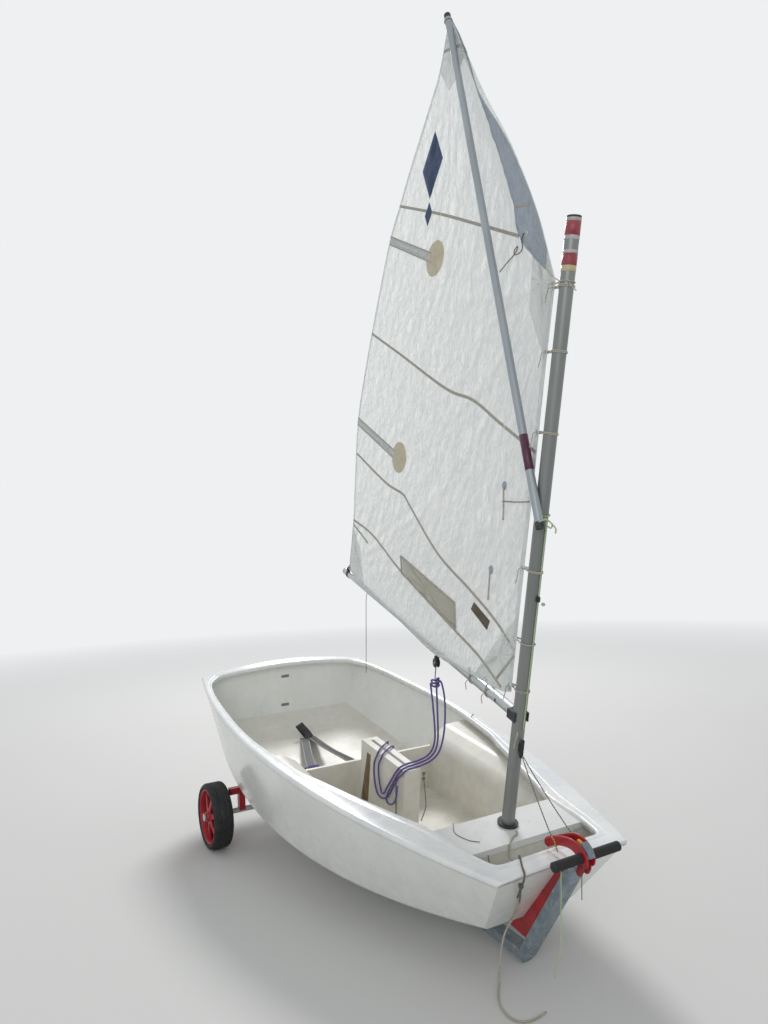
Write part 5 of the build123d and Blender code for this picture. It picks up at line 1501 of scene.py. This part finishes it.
@dataclass
class Trolley:
    """Launching trolley: ribbed tyres, spoked rims, hook plates, bolts, the grip's plugs and the pins."""

    wheel_at: Point = (.5395, .5716, .1507)
    radius: float = 0.1507
    width: float = 0.095
    rim_r: float = 0.1245
    hub_r: float = 0.024
    spokes: int = 6

    def tyre(self, side: float) -> Patch:
        """Tyre: a rounded section spun round the axle, with two grooves and shallow bars at its edges.

        Args:
            side: 1 to port, -1 to starboard.

        Returns:
            A closed ring.
        """
        half = self.width / 2.0
        bead, shoulder, crown = self.rim_r, self.radius - .012, self.radius - .003
        near = ((bead, -half + .012), (bead + .004, -half + .004), (shoulder, -half + .001),
                (crown, -half + .009), (self.radius, -half + .020))
        far = ((self.radius, half - .020), (crown, half - .009), (shoulder, half - .001),
               (bead + .004, half - .004), (bead, half - .012))
        section = rounded((*near, (self.radius, 0.0), *far), 64)
        section = np.vstack([section, [(bead - .001, half - .016), (bead - .001, -half + .016)]])
        angle = circle(180)
        r, y = section[:, :1], section[:, 1:]
        tread = smooth(r, self.radius - .006, self.radius - .001)
        grooves = .0016 * np.exp(-((np.abs(y) - .013) / .0022) ** 2)
        bars = .0014 * smooth(np.abs(y), .020, .030) * (np.sin(angle * 60)[None, :] > .2)
        r = np.minimum(r, self.radius) - tread * (grooves + bars)
        x, z = r * np.sin(angle), r * np.cos(angle)
        at = np.array(self.wheel_at) * (1, side, 1)
        return Patch(np.stack([at[0] + x, at[1] + y + 0.0 * x, at[2] + z], -1), ring=True, loop=True)

    def rim(self, side: float) -> list[Patch]:
        """Rim: a barrel with rolled lips, a hub, and spokes that widen at both ends."""
        half = self.width / 2.0
        at = np.array(self.wheel_at) * (1, side, 1)
        axis = np.array([0.0, side, 0.0])
        edge = self.rim_r
        rolled = [(edge - .0012, -half + .010), (edge + .001, -half + .006), (edge - .004, -half + .005),
                  (edge - .008, -half + .012), (edge - .008, half - .012), (edge - .004, half - .005),
                  (edge + .001, half - .006), (edge - .0012, half - .010)]
        barrel = lathe(rolled, at, axis, 72)
        barrel.loop = True
        hub = lathe([(.0102, -half), (self.hub_r - .004, -half), (self.hub_r, -half + .004),
                     (self.hub_r, .030), (self.hub_r - .003, half), (.0102, half)], at, axis, 40)
        hub.loop = True
        parts = [barrel, hub]
        for i in range(self.spokes):
            a = 2.0 * math.pi * (i + .3) / self.spokes
            out = np.array([math.sin(a), 0.0, math.cos(a)])
            round_way = np.array([math.cos(a), 0.0, -math.sin(a)])
            t = np.linspace(0.0, 1.0, 14)
            reach = self.hub_r - .003 + t[:, None] * (self.rim_r - .006 - self.hub_r)
            path = at + out * reach + axis * (.030 - .012 * t[:, None])
            wide = .022 + .020 * (2 * t - 1) ** 4
            parts.append(strap(path, round_way, wide, .010))
            parts.append(strap(path - axis * .010, axis, .030, .005))
        return parts

    def wheels(self) -> None:
        """Both wheels, each on its own body."""
        for name, side in (("left", 1.0), ("right", -1.0)):
            body = f"wheel_{name}"
            tyre = dress(made(f"tyre_{name}_tread", [self.tyre(side)], Place.GROUND), TYRE_RUBBER, body)
            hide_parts(f"tyre_{name}")
            rim = dress(made(f"rim_{name}_spoked", self.rim(side), Place.GROUND), RED_PLASTIC, body)
            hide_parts(f"rim_{name}")
            at = np.array(self.wheel_at) * (1, side, 1)
            pin = cushion((.004, .004, .030), at + (0.0, side * .0515, 0.0), edge=.6)
            fitted(f"axle_pin_{name}", [pin], Place.GROUND, STAINLESS)

    def metalwork(self) -> None:
        """Bolts of the beam, the pin at the post's foot, the yellow clip and the cord at the grip."""
        beam_x = self.wheel_at[0]
        heads = [screw((beam_x, s * .440, .2630), (0, 0, 1), .008, .004) for s in (-1.0, 1.0)]
        for face in (-1, 1):
            heads += [screw((beam_x + face * .0150, s * y, .2470), (face, 0, 0), .007, .004)
                      for s in (-1.0, 1.0) for y in (.430, .26)]
        fitted("beam_bolts", heads, Place.GROUND, STAINLESS)
        pin = tube(np.array([(2.125, .020, .0535), (2.125, .045, .0525), (2.125, .066, .0510)]), .0045, 12)
        fitted("post_pin", [pin], Place.GROUND, ZINC)
        clip = cushion((.026, .012, .009), (2.352, .0, .5010), turned(1, 12.0), .4)
        fitted("hook_clip", [clip], Place.BOAT, YELLOW_PLASTIC)
        cord = ((2.4215, -.018, .420), (2.420, -.020, .390), (2.416, -.020, .350), (2.414, -.020, .318))
        fitted("grip_cord", [thread(cord, 14, .0014)], Place.GROUND, DARK_BRAID)

    def hooks(self) -> None:
        """The two hook plates, smooth bars that curve and end in a tab, and the plugs of the grips."""
        near = ((2.218, .437, .030), (2.252, .462, .030), (2.292, .480, .030), (2.325, .488, .033),
                (2.352, .486, .038), (2.372, .474, .042), (2.380, .458, .044), (2.380, .440, .036))
        far = ((2.222, .434, .029), (2.250, .458, .028), (2.284, .478, .030), (2.315, .493, .033),
               (2.345, .494, .038), (2.368, .482, .042), (2.378, .464, .044), (2.374, .440, .036))
        tab = ((2.376, .446, .028), (2.370, .428, .027), (2.363, .409, .024))
        for name, y, rows in (("right", -.015, near), ("left", .015, far)):
            bars = []
            for line in (rows, tab):
                line = rounded(line, 60)
                path = np.stack([line[:, 0], np.full(len(line), y), line[:, 1]], 1)
                run = lengths(path)
                end = np.minimum(np.minimum(run, run[-1] - run) / (line[:, 2] / 2.0), 1.0)
                wide = line[:, 2] * np.sqrt(np.maximum(1.0 - (1.0 - end) ** 2, .01))
                bars.append(strap(path, np.cross(np.gradient(path, axis=0), (0.0, 1.0, 0.0)), wide, .006))
            plate = fitted(f"hook_plate_{name}", bars, Place.BOAT, RED_ENAMEL)
            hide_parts(f"hook_cheek_{name}")
        profile = [(0.0, .0), (.0145, .0), (.0145, .0012), (.012, .0022), (0.0, .0024)]
        plugs = [lathe(profile, (2.371, y, .466), (0.0, way, 0.0), 24)
                 for y, way in ((-.1245, -1.0), (.1405, 1.0))]
        fitted("grip_plugs", plugs, Place.BOAT, BLACK_PLASTIC)

    def build(self) -> None:
        """Wheels, hooks and metalwork."""
        self.wheels()
        self.hooks()
        self.metalwork()


def carry_over() -> None:
    """Finish of each CAD node whose own shape is right."""
    repaint({
        HULL_GELCOAT: "hull_shell",
        INSIDE_GELCOAT: "cockpit_sole midship_bulkhead daggerboard_case mast_bulkhead mast_step "
                        "side_tank_left side_tank_right",
        THWART_GELCOAT: "mast_thwart",
        BLACK_PLASTIC: "mast_collar mast_heel mast_cap mast_cleat boom_jaw boom_end_cap sprit_heel_cap "
                       "sprit_peak_cap",
        STAINLESS: "gudgeon_upper gudgeon_lower grip_tube",
        DULL_STEEL: "transom_plate_upper transom_plate_lower",
        MAST_METAL: "mast_tube",
        BOOM_METAL: "boom_tube",
        SPRIT_METAL: "sprit_tube",
        GALVANISED: "spine front_post",
        ZINC: "axle",
        RED_ENAMEL: "cross_beam beam_bracket_left beam_bracket_right bow_bracket",
        PAD_RUBBER: "hull_pad_left hull_pad_right",
        GREY_PLATE: "hook_cover",
        GRIP_FOAM: "grip_left grip_right",
    })


@dataclass
class Studio:
    """Plain pale floor, soft light and the camera at the photograph's place."""

    seat: Point = (2.78026, -1.5967, 1.3733)
    right: Point = (0.4981, 0.8660, -0.0433)
    above: Point = (0.0717, 0.0086, 0.9974)
    behind: Point = (0.8642, -0.4999, -0.0578)
    lens: float = 25.37

    def camera(self) -> None:
        """The camera, from its own three axes."""
        data = bpy.data.cameras.new("camera")
        data.lens, data.sensor_width, data.sensor_fit = self.lens, 36.0, "AUTO"
        data.clip_start, data.clip_end = 0.05, 200.0
        holder = bpy.data.objects.new("camera", data)
        grid = np.eye(4)
        grid[:3, 0], grid[:3, 1], grid[:3, 2], grid[:3, 3] = self.right, self.above, self.behind, self.seat
        holder.matrix_world = Matrix(grid.tolist())
        bpy.context.scene.collection.objects.link(holder)
        bpy.context.scene.camera = holder

    def floor(self) -> None:
        """A round pale floor that fades out before its edge."""
        rim = np.linspace(0.0, 14.0, 15)[:, None]
        angle = circle(72)[None, :]
        points = np.stack([rim * np.cos(angle), rim * np.sin(angle), 0.0 * rim * angle - 0.0015], -1)
        floor = made("floor", [Patch(points, ring=True)], Place.PART, closed=False)
        material = bpy.data.materials.new("floor_pale")
        tree = emptied(material)
        where = add(tree, "ShaderNodeTexCoord").outputs["Object"]
        far = add(tree, "ShaderNodeVectorMath", {0: where}, operation="LENGTH").outputs["Value"]
        fade = spread(tree, far, 0.0, 1.0, 3.5, 11.0)
        pale = add(tree, "ShaderNodeBsdfDiffuse", {"Color": linear("#dededc")})
        clear = add(tree, "ShaderNodeBsdfTransparent")
        mix = add(tree, "ShaderNodeMixShader", {0: fade, 1: pale.outputs[0], 2: clear.outputs[0]})
        add(tree, "ShaderNodeOutputMaterial", {"Surface": mix.outputs[0]})
        floor.data.materials.append(material)

    def light(self) -> None:
        """Soft daylight from all round, with a broad lamp behind the sail and a weak one in front."""
        world = bpy.data.worlds.new("studio")
        bpy.context.scene.world = world
        tree = emptied(world)
        path = add(tree, "ShaderNodeLightPath").outputs
        seen = reckoned(tree, "MAXIMUM", path["Is Camera Ray"], path["Is Glossy Ray"])
        seen = reckoned(tree, "MAXIMUM", seen, path["Is Transmission Ray"])
        strength = spread(tree, seen, 0.50, 0.93, 0.0, 1.0)
        glow = add(tree, "ShaderNodeBackground", {"Color": linear("#f6f8fa"), "Strength": strength})
        add(tree, "ShaderNodeOutputWorld", {"Surface": glow.outputs[0]})
        for name, at, aim, power, size in (("sun_lamp", (-5.0, 2.6, 6.2), (0.2, 0.0, 1.0), 330.0, 2.2),
                                           ("fill_lamp", (5.2, -4.6, 3.4), (0.0, 0.0, 0.8), 90.0, 4.0)):
            data = bpy.data.lights.new(name, "AREA")
            data.energy, data.size, data.shape = power, size, "DISK"
            holder = bpy.data.objects.new(name, data)
            holder.location = at
            holder.rotation_mode = "QUATERNION"
            holder.rotation_quaternion = (Vector(at) - Vector(aim)).to_track_quat("Z", "Y")
            bpy.context.scene.collection.objects.link(holder)

    def build(self) -> None:
        """Camera, floor and light."""
        self.camera()
        self.floor()
        self.light()
        bpy.context.scene.view_settings.view_transform = "Standard"


def main() -> None:
    """Build every sub-assembly in order."""
    logging.basicConfig(level=logging.INFO, format="%(message)s")
    Studio().build()
    Ropes().build()
    Sail().build()
    Rig().build()
    Gunwale().build()
    Hull().build()
    Trolley().build()
    carry_over()


if __name__ == "__main__":
    main()
